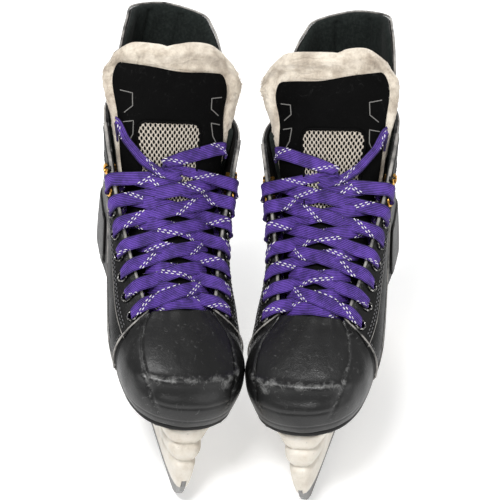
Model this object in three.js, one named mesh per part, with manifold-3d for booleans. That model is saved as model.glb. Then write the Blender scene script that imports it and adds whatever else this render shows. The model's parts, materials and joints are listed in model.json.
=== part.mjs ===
// A pair of ice hockey skates that lean against each other on their blades.
// Each skate is modelled upright in its own frame: +x towards the other skate, +y towards the heel,
// +z up, with its origin on the ice under the middle of the blade. The right skate is built in full,
// the left one is its mirror image, laced the same way.
import * as THREE from "three";
import { ConvexGeometry } from "three/addons/geometries/ConvexGeometry.js";
import { mergeVertices } from "three/addons/utils/BufferGeometryUtils.js";
import Module from "manifold-3d";

const wasm = await Module();
wasm.setup();

// ---------------------------------------------------------------- driving dimensions, mm and degrees
const BOOT_LENGTH = 282;
const BOOT_WIDTH = 102; // across the ball
const COLLAR_HEIGHT = 164; // of the collar's front corner over the sole
const INNER_DROP = 8; // how much lower and further forward the corner is on the inside of the foot
const SOLE_HEIGHT = 73; // of the outsole's top over the ice, at the toe
const HEEL_RISE = 8; // how much higher the heel stands than the toe
const SHELL = 2.6; // wall of the quarters, facings and toe cap
const LINER = 4; // padding inside the ankle
const LINER_GAP = 1;
const GAP = 0.4; // between neighbouring pieces
const FACING_WIDTH = 24;
const FACING_PROUD = 1.2; // how far a facing stands out of the quarter
const EYELETS = 8; // on each side
const LACED = 7; // of them, the lace goes through
const EYELET_PITCH = 16.4;
const FIRST_EYELET = 6; // from the facing's front end
const EYELET_INSET = 11; // from the facing's edge
const EYELET_BORE = 2.6;
const EYELET_WALL = 0.5;
const EYELET_FLANGE = 4.4;
const EYELET_SIDES = 6;
const EYELET_TAPE = 0.8; // thickness of the tape behind the eyelets
const TONGUE_FELT = 8;
const TONGUE_FACE = 1.4;
const TONGUE_TRIM = 1; // thickness of the mesh panel
const GUARD_HEIGHT = 53;
const GUARD_WALL = 6;
const OUTSOLE = 4;
const FOOTBED = 4;
const COUNTER_WALL = 1.8;
const RAIL_Z = 19; // the steel that shows under the holder
const GROOVE = 7; // how deep the steel sits in the holder
const STEEL = 3;
const ROCKER = 3000; // radius of the blade's bottom
const FLANGE = 3.6;
const POST_RADIUS = 3.4; // of the runner's two threaded posts
const NUT_RADIUS = 6.4;
const NUT_HEIGHT = 6;
const RIVET_RADIUS = 2.2;
const RIVET_HEAD = 4;
const LACE_WIDTH = 9;
const LACE_THICKNESS = 1.2;
// How each skate stands: toes turned in, tops leaning together, blade's middle off the pair's middle.
// The tongue and the tendon guard have taken a set sideways, as a share of their height.
const RIGHT_POSE = { yaw: 16, lean: 7, stance: 82.7, tongueSet: 0.02, guardSet: 0.08 };
const LEFT_POSE = { yaw: 14.6, lean: 8.4, stance: 80.7, tongueSet: 0.12, guardSet: -0.24 };

// The outlines below are for a boot of these sizes, and follow the driving dimensions.
const NOMINAL = { length: 282, width: 102, collar: 164, toe: 73, rise: 8, lining: 7.6 };
const scaleX = BOOT_WIDTH / NOMINAL.width;
const scaleY = BOOT_LENGTH / NOMINAL.length;
const scaleZ = COLLAR_HEIGHT / NOMINAL.collar;
const TOE_Y = -BOOT_LENGTH / 2;

const soleZ = (y) => SOLE_HEIGHT + ((y - TOE_Y) / BOOT_LENGTH) * HEEL_RISE;
const nominalSoleZ = (y) => NOMINAL.toe + (y / NOMINAL.length + 0.5) * NOMINAL.rise;
const fit = (x, y, z) =>
  new THREE.Vector3(x * scaleX, y * scaleY, soleZ(y * scaleY) + (z - nominalSoleZ(y)) * scaleZ);

// ---------------------------------------------------------------- helpers
// A closed solid from a three.js geometry whose every vertex goes where the function puts it.
function warp(geometry, place) {
  const position = geometry.getAttribute("position");
  for (let i = 0; i < position.count; i++) {
    const p = place(position.getX(i), position.getY(i), position.getZ(i));
    position.setXYZ(i, p.x, p.y, p.z);
  }
  return geometry;
}

function solid(geometry) {
  const bare = geometry.index ? geometry.toNonIndexed() : geometry.clone();
  bare.deleteAttribute("normal");
  bare.deleteAttribute("uv");
  const merged = mergeVertices(bare, 1e-4);
  const vertProperties = new Float32Array(merged.getAttribute("position").array);
  const triVerts = new Uint32Array(merged.index.array);
  const build = () => new wasm.Manifold(new wasm.Mesh({ numProp: 3, vertProperties, triVerts }));
  const made = build();
  if (made.volume() >= 0) return made;
  for (let i = 0; i < triVerts.length; i += 3) {
    const second = triVerts[i + 1];
    triVerts[i + 1] = triVerts[i + 2];
    triVerts[i + 2] = second;
  }
  return build();
}

function geometryOf(manifold) {
  const mesh = manifold.getMesh();
  const points = new Float32Array(mesh.numVert * 3);
  for (let i = 0; i < mesh.numVert; i++)
    points.set(mesh.vertProperties.subarray(i * mesh.numProp, i * mesh.numProp + 3), i * 3);
  return new THREE.BufferGeometry()
    .setAttribute("position", new THREE.BufferAttribute(points, 3))
    .setIndex(new THREE.BufferAttribute(new Uint32Array(mesh.triVerts), 1));
}

const lerp = THREE.MathUtils.lerp;
const clamp = THREE.MathUtils.clamp;

// A value along a list of [at, value] pairs, smooth between them.
function along(pairs, at) {
  if (at <= pairs[0][0]) return pairs[0][1];
  for (let i = 1; i < pairs.length; i++) {
    const [a, va] = pairs[i - 1];
    const [b, vb] = pairs[i];
    if (at <= b) return lerp(va, vb, THREE.MathUtils.smoothstep(at, a, b));
  }
  return pairs[pairs.length - 1][1];
}

// A curved panel: a box whose width runs over a list of stations, its height from low to high,
// and its thickness between two offsets.
function panel(stations, rows, place, inner, outer) {
  const box = new THREE.BoxGeometry(1, 1, 1, stations.length - 1, 1, rows);
  const shaped = warp(box, (x, y, z) =>
    place(stations[Math.round((x + 0.5) * (stations.length - 1))], z + 0.5, y > 0 ? outer : inner),
  );
  return geometryOf(solid(shaped));
}

const range = (from, to, count) => Array.from({ length: count + 1 }, (_, i) => lerp(from, to, i / count));

// ---------------------------------------------------------------- the boot's last
// Stations run from the heel's middle forward to the toe's middle. Each has a cubic profile that
// rises from the sole (x, y) over two handles to the upper edge: the collar, the facing or the throat.
const LAST = [
  { sole: [0, 137], low: [0, 149, 118], high: [0, 113, 182], edge: [0, 119, 236] }, // heel
  { sole: [24, 121], low: [27, 126, 120], high: [24, 106, 184], edge: [27, 107, 236] },
  { sole: [29, 92], low: [30, 94, 122], high: [36, 84, 187], edge: [37, 82, 237] },
  { sole: [29, 62], low: [30, 62, 124], high: [43, 56, 187], edge: [44, 54, 240] }, // ankle
  { sole: [29.5, 34], low: [31, 33, 120], high: [46, 32, 184], edge: [51, 31, 236] }, // collar corner
  { sole: [32, 10], low: [37, 9, 114], high: [48, 9, 168], edge: [47, 11, 207] },
  { sole: [36, -16], low: [45, -15, 107], high: [49, -11, 149], edge: [41, -8, 178] },
  { sole: [40, -42], low: [51, -40, 102], high: [49, -34, 133], edge: [34, -30, 152] },
  { sole: [42, -66], low: [54, -64, 99], high: [50, -57, 121], edge: [29, -51, 137] }, // ball
  { sole: [41, -88], low: [53, -88, 98], high: [45, -80, 114], edge: [25, -68, 126] }, // toe cap seam
  { sole: [38, -106], low: [49, -108, 100], high: [42, -98, 113], edge: [21, -70, 127] },
  { sole: [30, -122], low: [39, -127, 101], high: [34, -114, 111], edge: [16, -71, 128] },
  { sole: [16, -132], low: [22, -140, 101], high: [19, -125, 110], edge: [9, -72, 129] },
  { sole: [0, -135], low: [0, -144, 101], high: [0, -128, 110], edge: [0, -72, 130] }, // toe
];
const TOE = LAST.length - 1;
const SEAM = 9;
const CORNER = 4.25; // where the facing ends at the collar

// A station's four control points; k counts round the boot, negative on the inside of the foot.
function station(k) {
  const round = ((k % (2 * TOE)) + 2 * TOE) % (2 * TOE);
  const outside = round <= TOE;
  const at = outside ? round : 2 * TOE - round;
  const s = LAST[at];
  const side = outside ? -1 : 1;
  const sole = fit(side * s.sole[0], s.sole[1], nominalSoleZ(s.sole[1]));
  const low = fit(side * s.low[0], s.low[1], s.low[2]);
  const high = fit(side * s.high[0], s.high[1], s.high[2]);
  const edge = fit(side * s.edge[0], s.edge[1], s.edge[2]);
  const drop = INNER_DROP * Math.max(0, 1 - Math.abs(at - 4) / 2);
  if (!outside) edge.add(new THREE.Vector3(0, -1, -1).multiplyScalar(drop));
  return [sole, low, high, edge];
}

function catmull(a, b, c, d, t) {
  const cubic = (p, q, r, s) =>
    q + 0.5 * t * (r - p + t * (2 * p - 5 * q + 4 * r - s + t * (3 * (q - r) + s - p)));
  return new THREE.Vector3(cubic(a.x, b.x, c.x, d.x), cubic(a.y, b.y, c.y, d.y), cubic(a.z, b.z, c.z, d.z));
}

function lastPoint(k, v) {
  const i = Math.floor(k);
  const near = [station(i - 1), station(i), station(i + 1), station(i + 2)];
  const [sole, low, high, edge] = [0, 1, 2, 3].map((c) =>
    catmull(near[0][c], near[1][c], near[2][c], near[3][c], k - i),
  );
  const w = 1 - v;
  return sole
    .multiplyScalar(w * w * w)
    .addScaledVector(low, 3 * v * w * w)
    .addScaledVector(high, 3 * v * v * w)
    .addScaledVector(edge, v * v * v);
}

function lastNormal(k, v) {
  const step = 0.02;
  const across = lastPoint(k + step, v).sub(lastPoint(k - step, v));
  const low = clamp(v - step, 0, 1);
  const up = lastPoint(k, low + 2 * step > 1 ? 1 : low + 2 * step).sub(lastPoint(k, low));
  return across.cross(up).normalize();
}

// A point on the boot, offset outward from the last's surface.
const boot = (k, v, out = 0) => lastPoint(k, v).addScaledVector(lastNormal(k, v), out);

function profileLength(k) {
  let length = 0;
  for (let i = 0; i < 16; i++) length += lastPoint(k, i / 16).distanceTo(lastPoint(k, (i + 1) / 16));
  return length;
}
const inset = (k, distance) => 1 - distance / profileLength(k);

// ---------------------------------------------------------------- eyelet places
// Eyelets stand a pitch apart along a line that follows the facing's edge.
function eyeletStations() {
  const found = [];
  let travelled = -FIRST_EYELET;
  let last = boot(SEAM, inset(SEAM, EYELET_INSET));
  const step = 0.01;
  for (let k = SEAM - step; k > CORNER && found.length < EYELETS; k -= step) {
    const here = boot(k, inset(k, EYELET_INSET));
    travelled += here.distanceTo(last);
    last = here;
    if (travelled >= 0) {
      found.push(k);
      travelled -= EYELET_PITCH;
    }
  }
  return found;
}
const eyeletK = eyeletStations();
const eyeletV = eyeletK.map((k) => inset(k, EYELET_INSET));

// A drill along each eyelet's axis, on the outside (side 1) or the inside of the foot (side -1).
function drill(side, i, radius) {
  const k = side * eyeletK[i];
  const centre = boot(k, eyeletV[i]);
  const axis = lastNormal(k, eyeletV[i]);
  const tool = new THREE.CylinderGeometry(radius, radius, 24, EYELET_SIDES).applyQuaternion(
    new THREE.Quaternion().setFromUnitVectors(new THREE.Vector3(0, 1, 0), axis),
  );
  return solid(tool.translate(centre.x, centre.y, centre.z));
}

function drilled(body, side, radius) {
  let cut = body;
  for (let i = 0; i < EYELETS; i++) cut = cut.subtract(drill(side, i, radius));
  return cut;
}

// ---------------------------------------------------------------- boot pieces
// The panels of the shell share their stations and rows, so that the gaps between them stay even.
const BACK_STATIONS = [0.5, 1, 1.5, 2, 2.7, 3.4, CORNER - 0.12, CORNER - 0.08];
const FACING_STATIONS = [CORNER, 5, 6, 7, 8, SEAM - 0.02];
const SHELL_ROWS = 7;
const quarterTop = (k) => (Math.abs(k) < CORNER - 0.1 ? 1 : inset(k, FACING_WIDTH + 2 * GAP));

function quarter(side) {
  const stations = [0.02, ...BACK_STATIONS, ...FACING_STATIONS.slice(1)];
  const place = (k, v, out) => boot(side * k, v * quarterTop(k), out);
  return panel(stations, SHELL_ROWS, place, -SHELL, 0);
}

function facing(side) {
  const place = (k, v, out) => boot(side * k, lerp(inset(k, FACING_WIDTH), 1, v), out);
  const strip = solid(panel(FACING_STATIONS, 2, place, -SHELL, FACING_PROUD));
  return geometryOf(drilled(strip, side, EYELET_BORE + EYELET_WALL + GAP));
}

// The eyelets of one side stand on the stay tape that backs the facing.
function eyelets(side) {
  const inner = -SHELL - 4 * GAP;
  const stations = [CORNER + 0.15, ...FACING_STATIONS.slice(1, -1), SEAM - 0.2];
  const tapeHalf = EYELET_FLANGE + 0.4;
  const place = (k, v, out) =>
    boot(side * k, inset(k, lerp(EYELET_INSET + tapeHalf, EYELET_INSET - tapeHalf, v)), out);
  const tape = solid(panel(stations, 1, place, inner - EYELET_TAPE, inner));
  let row = drilled(tape, side, EYELET_BORE + EYELET_WALL / 2);
  const top = FACING_PROUD + 3 * GAP;
  const barrel = EYELET_BORE + EYELET_WALL;
  const profile = [
    [EYELET_BORE, inner - 0.5],
    [barrel, inner - 0.5],
    [barrel, top],
    [EYELET_FLANGE, top],
    [EYELET_BORE, top + 0.9],
    [EYELET_BORE, inner - 0.5],
  ].map(([r, h]) => new THREE.Vector2(r, h));
  for (let i = 0; i < EYELETS; i++) {
    const k = side * eyeletK[i];
    const centre = boot(k, eyeletV[i]);
    const turn = new THREE.Quaternion().setFromUnitVectors(
      new THREE.Vector3(0, 1, 0),
      lastNormal(k, eyeletV[i]),
    );
    const ring = new THREE.LatheGeometry(profile, EYELET_SIDES).applyQuaternion(turn);
    row = row.add(solid(ring.translate(centre.x, centre.y, centre.z)));
  }
  return geometryOf(row);
}

function toeCap() {
  const stations = range(SEAM + 0.04, 2 * TOE - SEAM - 0.04, 12);
  return panel(stations, 7, (k, v, out) => boot(k, v, out), -SHELL, 0.5);
}

// The liner reaches the collar's edge behind the ankle, and stays below the tongue's edges ahead of it.
const LINER_ROWS = 4.6;
function liner() {
  const rows = SHELL_ROWS - 1;
  const place = (k, v, out) => {
    const row = Math.min(1 + rows * v, Math.abs(k) > CORNER - 0.1 ? LINER_ROWS : SHELL_ROWS - 0.15);
    return boot(k, (row / SHELL_ROWS) * quarterTop(k), out);
  };
  const half = [...BACK_STATIONS, 5, 6, 7];
  const stations = [...half.map((k) => -k).reverse(), 0, ...half];
  return panel(stations, rows, place, -SHELL - LINER_GAP - LINER, -SHELL - LINER_GAP);
}

function heelCounter() {
  const half = BACK_STATIONS.slice(0, 5);
  const top = (k) => lerp(2.5, 2.1, Math.abs(k) / half[4]);
  const place = (k, v, out) => boot(k, Math.min(0.1 + 3 * v, top(k)) / SHELL_ROWS, out);
  const stations = [...half.map((k) => -k).reverse(), 0, ...half];
  return panel(stations, 3, place, 1.5 * GAP, 1.5 * GAP + COUNTER_WALL);
}

// The tendon guard stands on the collar behind the ankle. It flares as it rises, and it has taken
// a set to the inside of the foot.
const GUARD_END = 2.3;
function guardPoint(k, w, out) {
  const base = lastPoint(k, 1);
  const away = new THREE.Vector3(base.x, base.y - 78 * scaleY, 0).normalize();
  const share = Math.abs(k) / GUARD_END;
  const slant = 1 + 0.09 * Math.sign(k) * share;
  const rise = w * GUARD_HEIGHT * slant * along([[0, 1], [0.55, 0.97], [0.78, 0.8], [1, 0.42]], share);
  return base
    .addScaledVector(away, out)
    .add(new THREE.Vector3(rise * 0.1, rise * 0.07, 2 * GAP + rise));
}
const tendonGuard = () => panel(range(-GUARD_END, GUARD_END, 12), 5, guardPoint, -GUARD_WALL, 0);

// ---------------------------------------------------------------- tongue
// The middle of the tongue's front face, from under the toe cap up the instep, as [y, z, half width, fall],
// where the fall is how far its edges lie behind its middle.
const TONGUE = [
  [-84, 117, 18, 9],
  [-67, 130, 23, 12],
  [-52, 142, 27, 14],
  [-32, 160, 32, 16],
  [-12, 184, 36, 17],
  [3, 209, 37, 16],
  [16, 236, 36, 14],
  [26, 264, 52, 15],
  [35, 290, 46, 14],
];
const tongueCurve = new THREE.CatmullRomCurve3(TONGUE.map(([y, z]) => fit(0, y, z)));
const HINGE_S = 6 / (TONGUE.length - 1);
// The tongue narrows by what a thicker shell and liner take from the room between the quarters.
const thickerLining = SHELL + LINER + LINER_GAP - NOMINAL.lining;

function tongue(a, s, out) {
  const centre = tongueCurve.getPoint(s);
  const ahead = tongueCurve.getTangent(s);
  const front = new THREE.Vector3(0, -ahead.z, ahead.y);
  const at = s * (TONGUE.length - 1);
  const i = Math.min(Math.floor(at), TONGUE.length - 2);
  const half = lerp(TONGUE[i][2], TONGUE[i + 1][2], at - i) * scaleX - thickerLining;
  const fall = lerp(TONGUE[i][3], TONGUE[i + 1][3], at - i) * scaleZ;
  const p = centre.addScaledVector(front, out - fall * a * a);
  p.x += a * half;
  return p;
}

const tongueStrip = (from, to, rows, halfShare, inner, outer, columns = 8) =>
  panel(
    range(-1, 1, columns),
    rows,
    (a, v, out) => tongue(a * halfShare(lerp(from, to, v)), lerp(from, to, v), out),
    inner,
    outer,
  );

const HINGE_GAP = 0.003; // half the split at the tongue's flex line, as a share of its length
const tongueLower = () => tongueStrip(0, HINGE_S - HINGE_GAP, 9, () => 1, -TONGUE_FELT, 0);
const roundTop = (s) => (s < 0.93 ? 1 : Math.sqrt(1 - 0.55 * ((s - 0.93) / 0.07) ** 2));
const tongueUpper = () => tongueStrip(HINGE_S + HINGE_GAP, 1, 5, roundTop, -TONGUE_FELT, 0);
const tongueFace = () =>
  tongueStrip(HINGE_S + HINGE_GAP + 0.01, 0.955, 5, () => 0.8, GAP, GAP + TONGUE_FACE);
const tongueMesh = () =>
  tongueStrip(0.42, HINGE_S - HINGE_GAP - 0.01, 5, () => 0.56, 2 * GAP, 2 * GAP + TONGUE_TRIM, 4);

// ---------------------------------------------------------------- soles
// The sole's outline, moved inward by a distance.
function soleOutline(inward) {
  const points = [];
  for (let k = 0; k < 2 * TOE; k += 1) {
    const p = lastPoint(k, 0);
    const n = lastPoint(k + 0.05, 0).sub(lastPoint(k - 0.05, 0));
    const out = new THREE.Vector2(n.y, -n.x).normalize();
    points.push(new THREE.Vector2(p.x, p.y).addScaledVector(out, -inward));
  }
  return points;
}

// A flat plate that follows the sole's pitch, between two heights over the sole.
function plate(outline, low, high) {
  const thick = { depth: high - low, bevelEnabled: false };
  const made = new THREE.ExtrudeGeometry(new THREE.Shape(outline), thick);
  return warp(made, (x, y, z) => new THREE.Vector3(x, y, soleZ(y) + low + z));
}

function pillar(x, y, radius, low, high, sides = 8) {
  return solid(
    new THREE.CylinderGeometry(radius, radius, high - low, sides)
      .rotateX(Math.PI / 2)
      .translate(x, y, (low + high) / 2),
  );
}

const RIVETS = [
  ["toe_outer", -20, -118],
  ["toe_inner", 24, -118],
  ["ball_outer", -25, -52],
  ["ball_inner", 19, -52],
  ["shank_outer", -20, 58],
  ["shank_inner", 20, 58],
  ["heel_outer", -17, 118],
  ["heel_inner", 17, 118],
].map(([name, x, y]) => ({ name, x: x * scaleX, y: y * scaleY }));
const POSTS = [
  { name: "front", y: -92 * scaleY, ledge: 42 },
  { name: "rear", y: 92 * scaleY, ledge: 46 },
];
const SOLE_UNDER = -OUTSOLE - GAP;

function outsole() {
  let body = solid(plate(soleOutline(-1), SOLE_UNDER, -GAP));
  for (const r of RIVETS) body = body.subtract(pillar(r.x, r.y, RIVET_RADIUS + GAP, 0, 120));
  for (const p of POSTS) body = body.subtract(pillar(0, p.y, NUT_RADIUS + 3 * GAP, 0, 120));
  return geometryOf(body);
}

const footbed = () => plate(soleOutline(SHELL + 3), 2 * GAP, 2 * GAP + FOOTBED);

// ---------------------------------------------------------------- blade holder
// Each tower is a stack of rounded rings: [height, front y, back y, half width].
const FRONT_TOWER = [
  [RAIL_Z, -138, -28, 6.2],
  [27, -139, -40, 7.5],
  [38, -137, -50, 10],
  [50, -134, -50, 14.5],
  [58, -132, -44, 20],
  [63, -131, -38, 26],
];
const REAR_TOWER = [
  [RAIL_Z, 26, 133, 6.2],
  [27, 42, 134, 7.5],
  [40, 54, 133, 10.5],
  [54, 56, 132, 15],
  [64, 50, 131, 20],
  [69, 45, 131, 25],
];

function tower(rings, topZ) {
  const tube = new THREE.CylinderGeometry(1, 1, rings.length - 1, 12, rings.length - 1);
  const stretch = (topZ - RAIL_Z) / (rings[rings.length - 1][0] - rings[0][0]);
  return solid(
    warp(tube, (x, y, z) => {
      const [height, front, back, half] = rings[Math.round(y + (rings.length - 1) / 2)];
      const radius = Math.hypot(x, z);
      const square = (c) => Math.sign(c) * Math.abs(c) ** 0.7;
      const long = ((back - front) / 2) * scaleY;
      const middle = ((back + front) / 2) * scaleY;
      const inside = radius < 0.5;
      return new THREE.Vector3(
        inside ? 0 : half * square(x),
        middle + (inside ? 0 : long * square(z)),
        RAIL_Z + (height - rings[0][0]) * stretch,
      );
    }),
  );
}

function flange(fromY, toY) {
  const edge = soleOutline(11).filter((p) => p.y > fromY * scaleY && p.y < toY * scaleY);
  const lateral = edge.filter((p) => p.x < 0).sort((a, b) => a.y - b.y);
  const medial = edge.filter((p) => p.x >= 0).sort((a, b) => b.y - a.y);
  return solid(plate([...lateral, ...medial].reverse(), SOLE_UNDER - GAP - FLANGE, SOLE_UNDER - GAP));
}

function holder() {
  const under = SOLE_UNDER - GAP - FLANGE / 2;
  const rail = new THREE.BoxGeometry(11, 110 * scaleY, 13).translate(0, 0, RAIL_Z + 6.5);
  let body = tower(FRONT_TOWER, soleZ(-131 * scaleY) + under)
    .add(tower(REAR_TOWER, soleZ(45 * scaleY) + under))
    .add(solid(rail))
    .add(flange(-134, -30))
    .add(flange(36, 136));
  const groove = new THREE.BoxGeometry(STEEL + 2 * GAP, BOOT_LENGTH * 1.1, 2 * (GROOVE + GAP));
  body = body.subtract(solid(groove.translate(0, 0, RAIL_Z)));
  for (const p of POSTS) {
    body = body.subtract(pillar(0, p.y, POST_RADIUS + GAP, 0, 120));
    body = body.subtract(pillar(0, p.y, NUT_RADIUS + 3 * GAP, p.ledge, 120));
  }
  for (const r of RIVETS) {
    const seat = soleZ(r.y) + SOLE_UNDER - GAP - FLANGE;
    body = body.subtract(pillar(r.x, r.y, RIVET_RADIUS + GAP, 0, 120));
    body = body.subtract(pillar(r.x, r.y, RIVET_HEAD + 1, seat - 14, seat + 0.6));
  }
  return geometryOf(body);
}

// The steel runner: a flat blade with a rockered bottom, upturned ends and two threaded posts.
function runner() {
  const rocker = (y) => (y * y) / (2 * ROCKER);
  const front = -139 * scaleY;
  const back = 134 * scaleY;
  const top = RAIL_Z + GROOVE;
  const side = new THREE.Shape();
  side.moveTo(back - 2, top);
  side.lineTo(back, 16);
  side.quadraticCurveTo(back - 3, 5, back - 24, rocker(back - 24));
  for (const y of range(back - 36, front + 36, 7)) side.lineTo(y, rocker(y));
  side.lineTo(front + 20, rocker(front + 20));
  side.quadraticCurveTo(front + 3, 7, front, 21);
  side.lineTo(front + 1, top);
  const thick = { depth: STEEL, bevelEnabled: false, curveSegments: 5 };
  const plateSteel = new THREE.ExtrudeGeometry(side, thick);
  plateSteel.translate(0, 0, -STEEL / 2);
  let body = solid(warp(plateSteel, (x, y, z) => new THREE.Vector3(z, x, y)));
  for (const p of POSTS)
    body = body.add(pillar(0, p.y, POST_RADIUS, top - 1.5, p.ledge + NUT_HEIGHT + 1.5));
  return geometryOf(body);
}

function runnerNut(post) {
  const bore = (POST_RADIUS + GAP) / Math.cos(Math.PI / 6);
  const ring = [
    [bore, 0],
    [NUT_RADIUS, 0],
    [NUT_RADIUS, NUT_HEIGHT],
    [bore, NUT_HEIGHT],
    [bore, 0],
  ].map(([r, h]) => new THREE.Vector2(r, h));
  return new THREE.LatheGeometry(ring, 6).rotateX(Math.PI / 2).translate(0, post.y, post.ledge + GAP);
}

function rivet(r) {
  const seat = soleZ(r.y) + SOLE_UNDER - GAP - FLANGE - GAP;
  const tip = soleZ(r.y) + 0.4;
  const profile = [
    [0, seat - 1.2],
    [RIVET_HEAD - 0.8, seat - 1.2],
    [RIVET_HEAD, seat],
    [RIVET_RADIUS, seat],
    [RIVET_RADIUS, tip],
    [0, tip],
  ].map(([radius, h]) => new THREE.Vector2(radius, h));
  return new THREE.LatheGeometry(profile, 8).rotateX(Math.PI / 2).translate(r.x, r.y, 0);
}

// ---------------------------------------------------------------- lace
const NARROW = { width: 3.2, thickness: 1.5 }; // the lace gathered in an eyelet
const FLAT = { width: LACE_WIDTH, thickness: LACE_THICKNESS };

function nearestTongue(point) {
  let best = 0;
  let least = Infinity;
  for (let s = 0; s <= 1; s += 0.004) {
    const p = tongueCurve.getPoint(s);
    const d = (p.y - point.y) ** 2 + (p.z - point.z) ** 2;
    if (d < least) [best, least] = [s, d];
  }
  return best;
}

// Where the lace runs under the facing and the eyelet tape.
const UNDER_FACING = -SHELL - 4 * GAP - EYELET_TAPE - GAP - 1;
const knot = (place, shape, s) => ({ place, shape, s });

// From the outside of an eyelet to the facing's edge above it, or the same under the facing.
function eyeletEnd(side, i, over) {
  const k = side * eyeletK[i];
  const v = eyeletV[i];
  const s = nearestTongue(lastPoint(k, 1));
  const lift = FACING_PROUD + 3 * GAP + 1.2;
  if (over)
    return [
      knot(boot(k, v, -1), NARROW, s),
      knot(boot(k, v, lift + 1.4), NARROW, s),
      knot(boot(k, 1, lift + 0.8), FLAT, s),
    ];
  return [
    knot(boot(k, v, UNDER_FACING - 0.4), NARROW, s),
    knot(boot(k, 1, UNDER_FACING + 0.4), { width: 8, thickness: LACE_THICKNESS }, s),
  ];
}

// A strand over the tongue between two eyelet ends. High strands lie on low ones where they cross.
function strand(from, to, high) {
  const a = from[from.length - 1];
  const b = to[to.length - 1];
  const middle = [0.2, 0.5, 0.8].map((t) => {
    const p = a.place.clone().lerp(b.place, t);
    const s = nearestTongue(p);
    const half = Math.abs(tongue(1, s, 0).x);
    const lift = TONGUE_TRIM + 2 * GAP + 3.2 + (t === 0.5 && high ? 1.8 : 0);
    return knot(tongue(clamp(p.x / half, -0.95, 0.95), s, lift), FLAT, s);
  });
  return [...from, ...middle, ...[...to].reverse()];
}

// Down one chain of eyelets, across the bottom bar under the facings, and up the other chain.
function laceRoute(start, finish) {
  let route = [...start];
  let side = -1;
  for (let i = LACED - 1; i > 0; i--) {
    route.push(...(i === LACED - 1 ? [...eyeletEnd(side, i, true)].reverse() : []));
    route.push(...strand(eyeletEnd(side, i, false), eyeletEnd(-side, i - 1, true), i % 2 === 0));
    side = -side;
  }
  route.push(...strand(eyeletEnd(side, 0, false), eyeletEnd(-side, 0, false), false));
  side = -side;
  for (let i = 0; i < LACED - 1; i++) {
    route.push(...strand(eyeletEnd(side, i, true), eyeletEnd(-side, i + 1, false), i % 2 === 0));
    side = -side;
  }
  route.push(...eyeletEnd(side, LACED - 1, true));
  return [...route, ...finish];
}

// A free end tucked between tongue and facing near the collar's corner.
function tucked(side, k) {
  const s = nearestTongue(lastPoint(side * k, 1));
  return [
    knot(boot(side * k, inset(k, 9), UNDER_FACING), { width: 7, thickness: LACE_THICKNESS }, s),
    knot(boot(side * k, 1, UNDER_FACING + 0.4), FLAT, s),
  ];
}

const onTongue = (a, s, out, shape = FLAT) => knot(tongue(a, s, out), shape, s);
const TWISTED = { width: 6, thickness: 1.6 };

// The free ends: each leaves its top eyelet, they twist round each other near the tongue's outer
// edge, and each is tucked in on one side.
const innerEnd = [
  ...tucked(-1, 4.5),
  onTongue(0.6, 0.66, 4.4),
  onTongue(0.1, 0.645, 4.6),
  onTongue(-0.3, 0.625, 6.6, TWISTED),
];
const outerEnd = [
  onTongue(0.1, 0.585, 4.6),
  onTongue(-0.34, 0.6, 4.2, TWISTED),
  onTongue(-0.5, 0.635, 7, TWISTED),
  onTongue(-0.68, 0.68, 4.4),
  ...[...tucked(1, 4.4)].reverse(),
];

// A flat lace along its route, its width lying along the tongue: the hulls between neighbouring
// sections, each reaching a little into the next, joined into one piece.
const LACE_OVERLAP = 0.3;
function lace(route) {
  const tips = [];
  const sections = route.map((here, i) => {
    const before = route[Math.max(i - 1, 0)].place;
    const after = route[Math.min(i + 1, route.length - 1)].place;
    const travel = after.clone().sub(before).normalize();
    const wide = tongueCurve.getTangent(here.s);
    wide.addScaledVector(travel, -wide.dot(travel)).normalize();
    tips.push(here.place.clone().addScaledVector(after.clone().sub(here.place).normalize(), LACE_OVERLAP));
    const thick = travel.cross(wide);
    const { width, thickness } = here.shape;
    return [-0.5, 0.5].flatMap((across) =>
      [-0.5, 0.5].map((up) =>
        here.place.clone().addScaledVector(wide, across * width).addScaledVector(thick, up * thickness),
      ),
    );
  });
  let body = null;
  for (let i = 1; i < sections.length; i++) {
    const piece = solid(new ConvexGeometry([...sections[i - 1], ...sections[i], tips[i]]));
    body = body ? body.add(piece) : piece;
  }
  return geometryOf(body);
}

// ---------------------------------------------------------------- materials
const finish = (color, roughness, metalness = 0) =>
  new THREE.MeshStandardMaterial({ color, roughness, metalness });
const blackLeather = finish(0x1c1c1e, 0.45);
const blackPlastic = finish(0x18181a, 0.35);
const blackFabric = finish(0x141416, 0.9);
const paleFelt = finish(0xcbbfb4, 0.95);
const greyMesh = finish(0xb7aa9a, 0.7);
const purpleLace = finish(0x47258f, 0.8);
const whitePlastic = finish(0xddd3c2, 0.4);
const steel = finish(0x9a9a98, 0.25, 1);
const brass = finish(0xb9902f, 0.3, 1);
const greyFoam = finish(0x55565a, 0.95);

// ---------------------------------------------------------------- assembly
const PIECES = [
  ["outsole", outsole(), blackPlastic],
  ["footbed", footbed(), greyFoam],
  ["toe_cap", toeCap(), blackPlastic],
  ["outer_quarter", quarter(1), blackLeather],
  ["inner_quarter", quarter(-1), blackLeather],
  ["outer_facing", facing(1), blackLeather],
  ["inner_facing", facing(-1), blackLeather],
  ["outer_eyelets", eyelets(1), brass],
  ["inner_eyelets", eyelets(-1), brass],
  ["ankle_liner", liner(), blackFabric],
  ["heel_counter", heelCounter(), blackPlastic],
  ["tendon_guard", tendonGuard(), blackFabric],
  ["tongue_lower", tongueLower(), blackFabric],
  ["tongue_mesh", tongueMesh(), greyMesh],
  ["tongue_upper", tongueUpper(), paleFelt],
  ["tongue_face", tongueFace(), blackLeather],
  ["blade_holder", holder(), whitePlastic],
  ["steel_runner", runner(), steel],
  ...POSTS.map((p) => [p.name + "_runner_nut", runnerNut(p), steel]),
  ...RIVETS.map((r) => [r.name + "_rivet", rivet(r), steel]),
];

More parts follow.
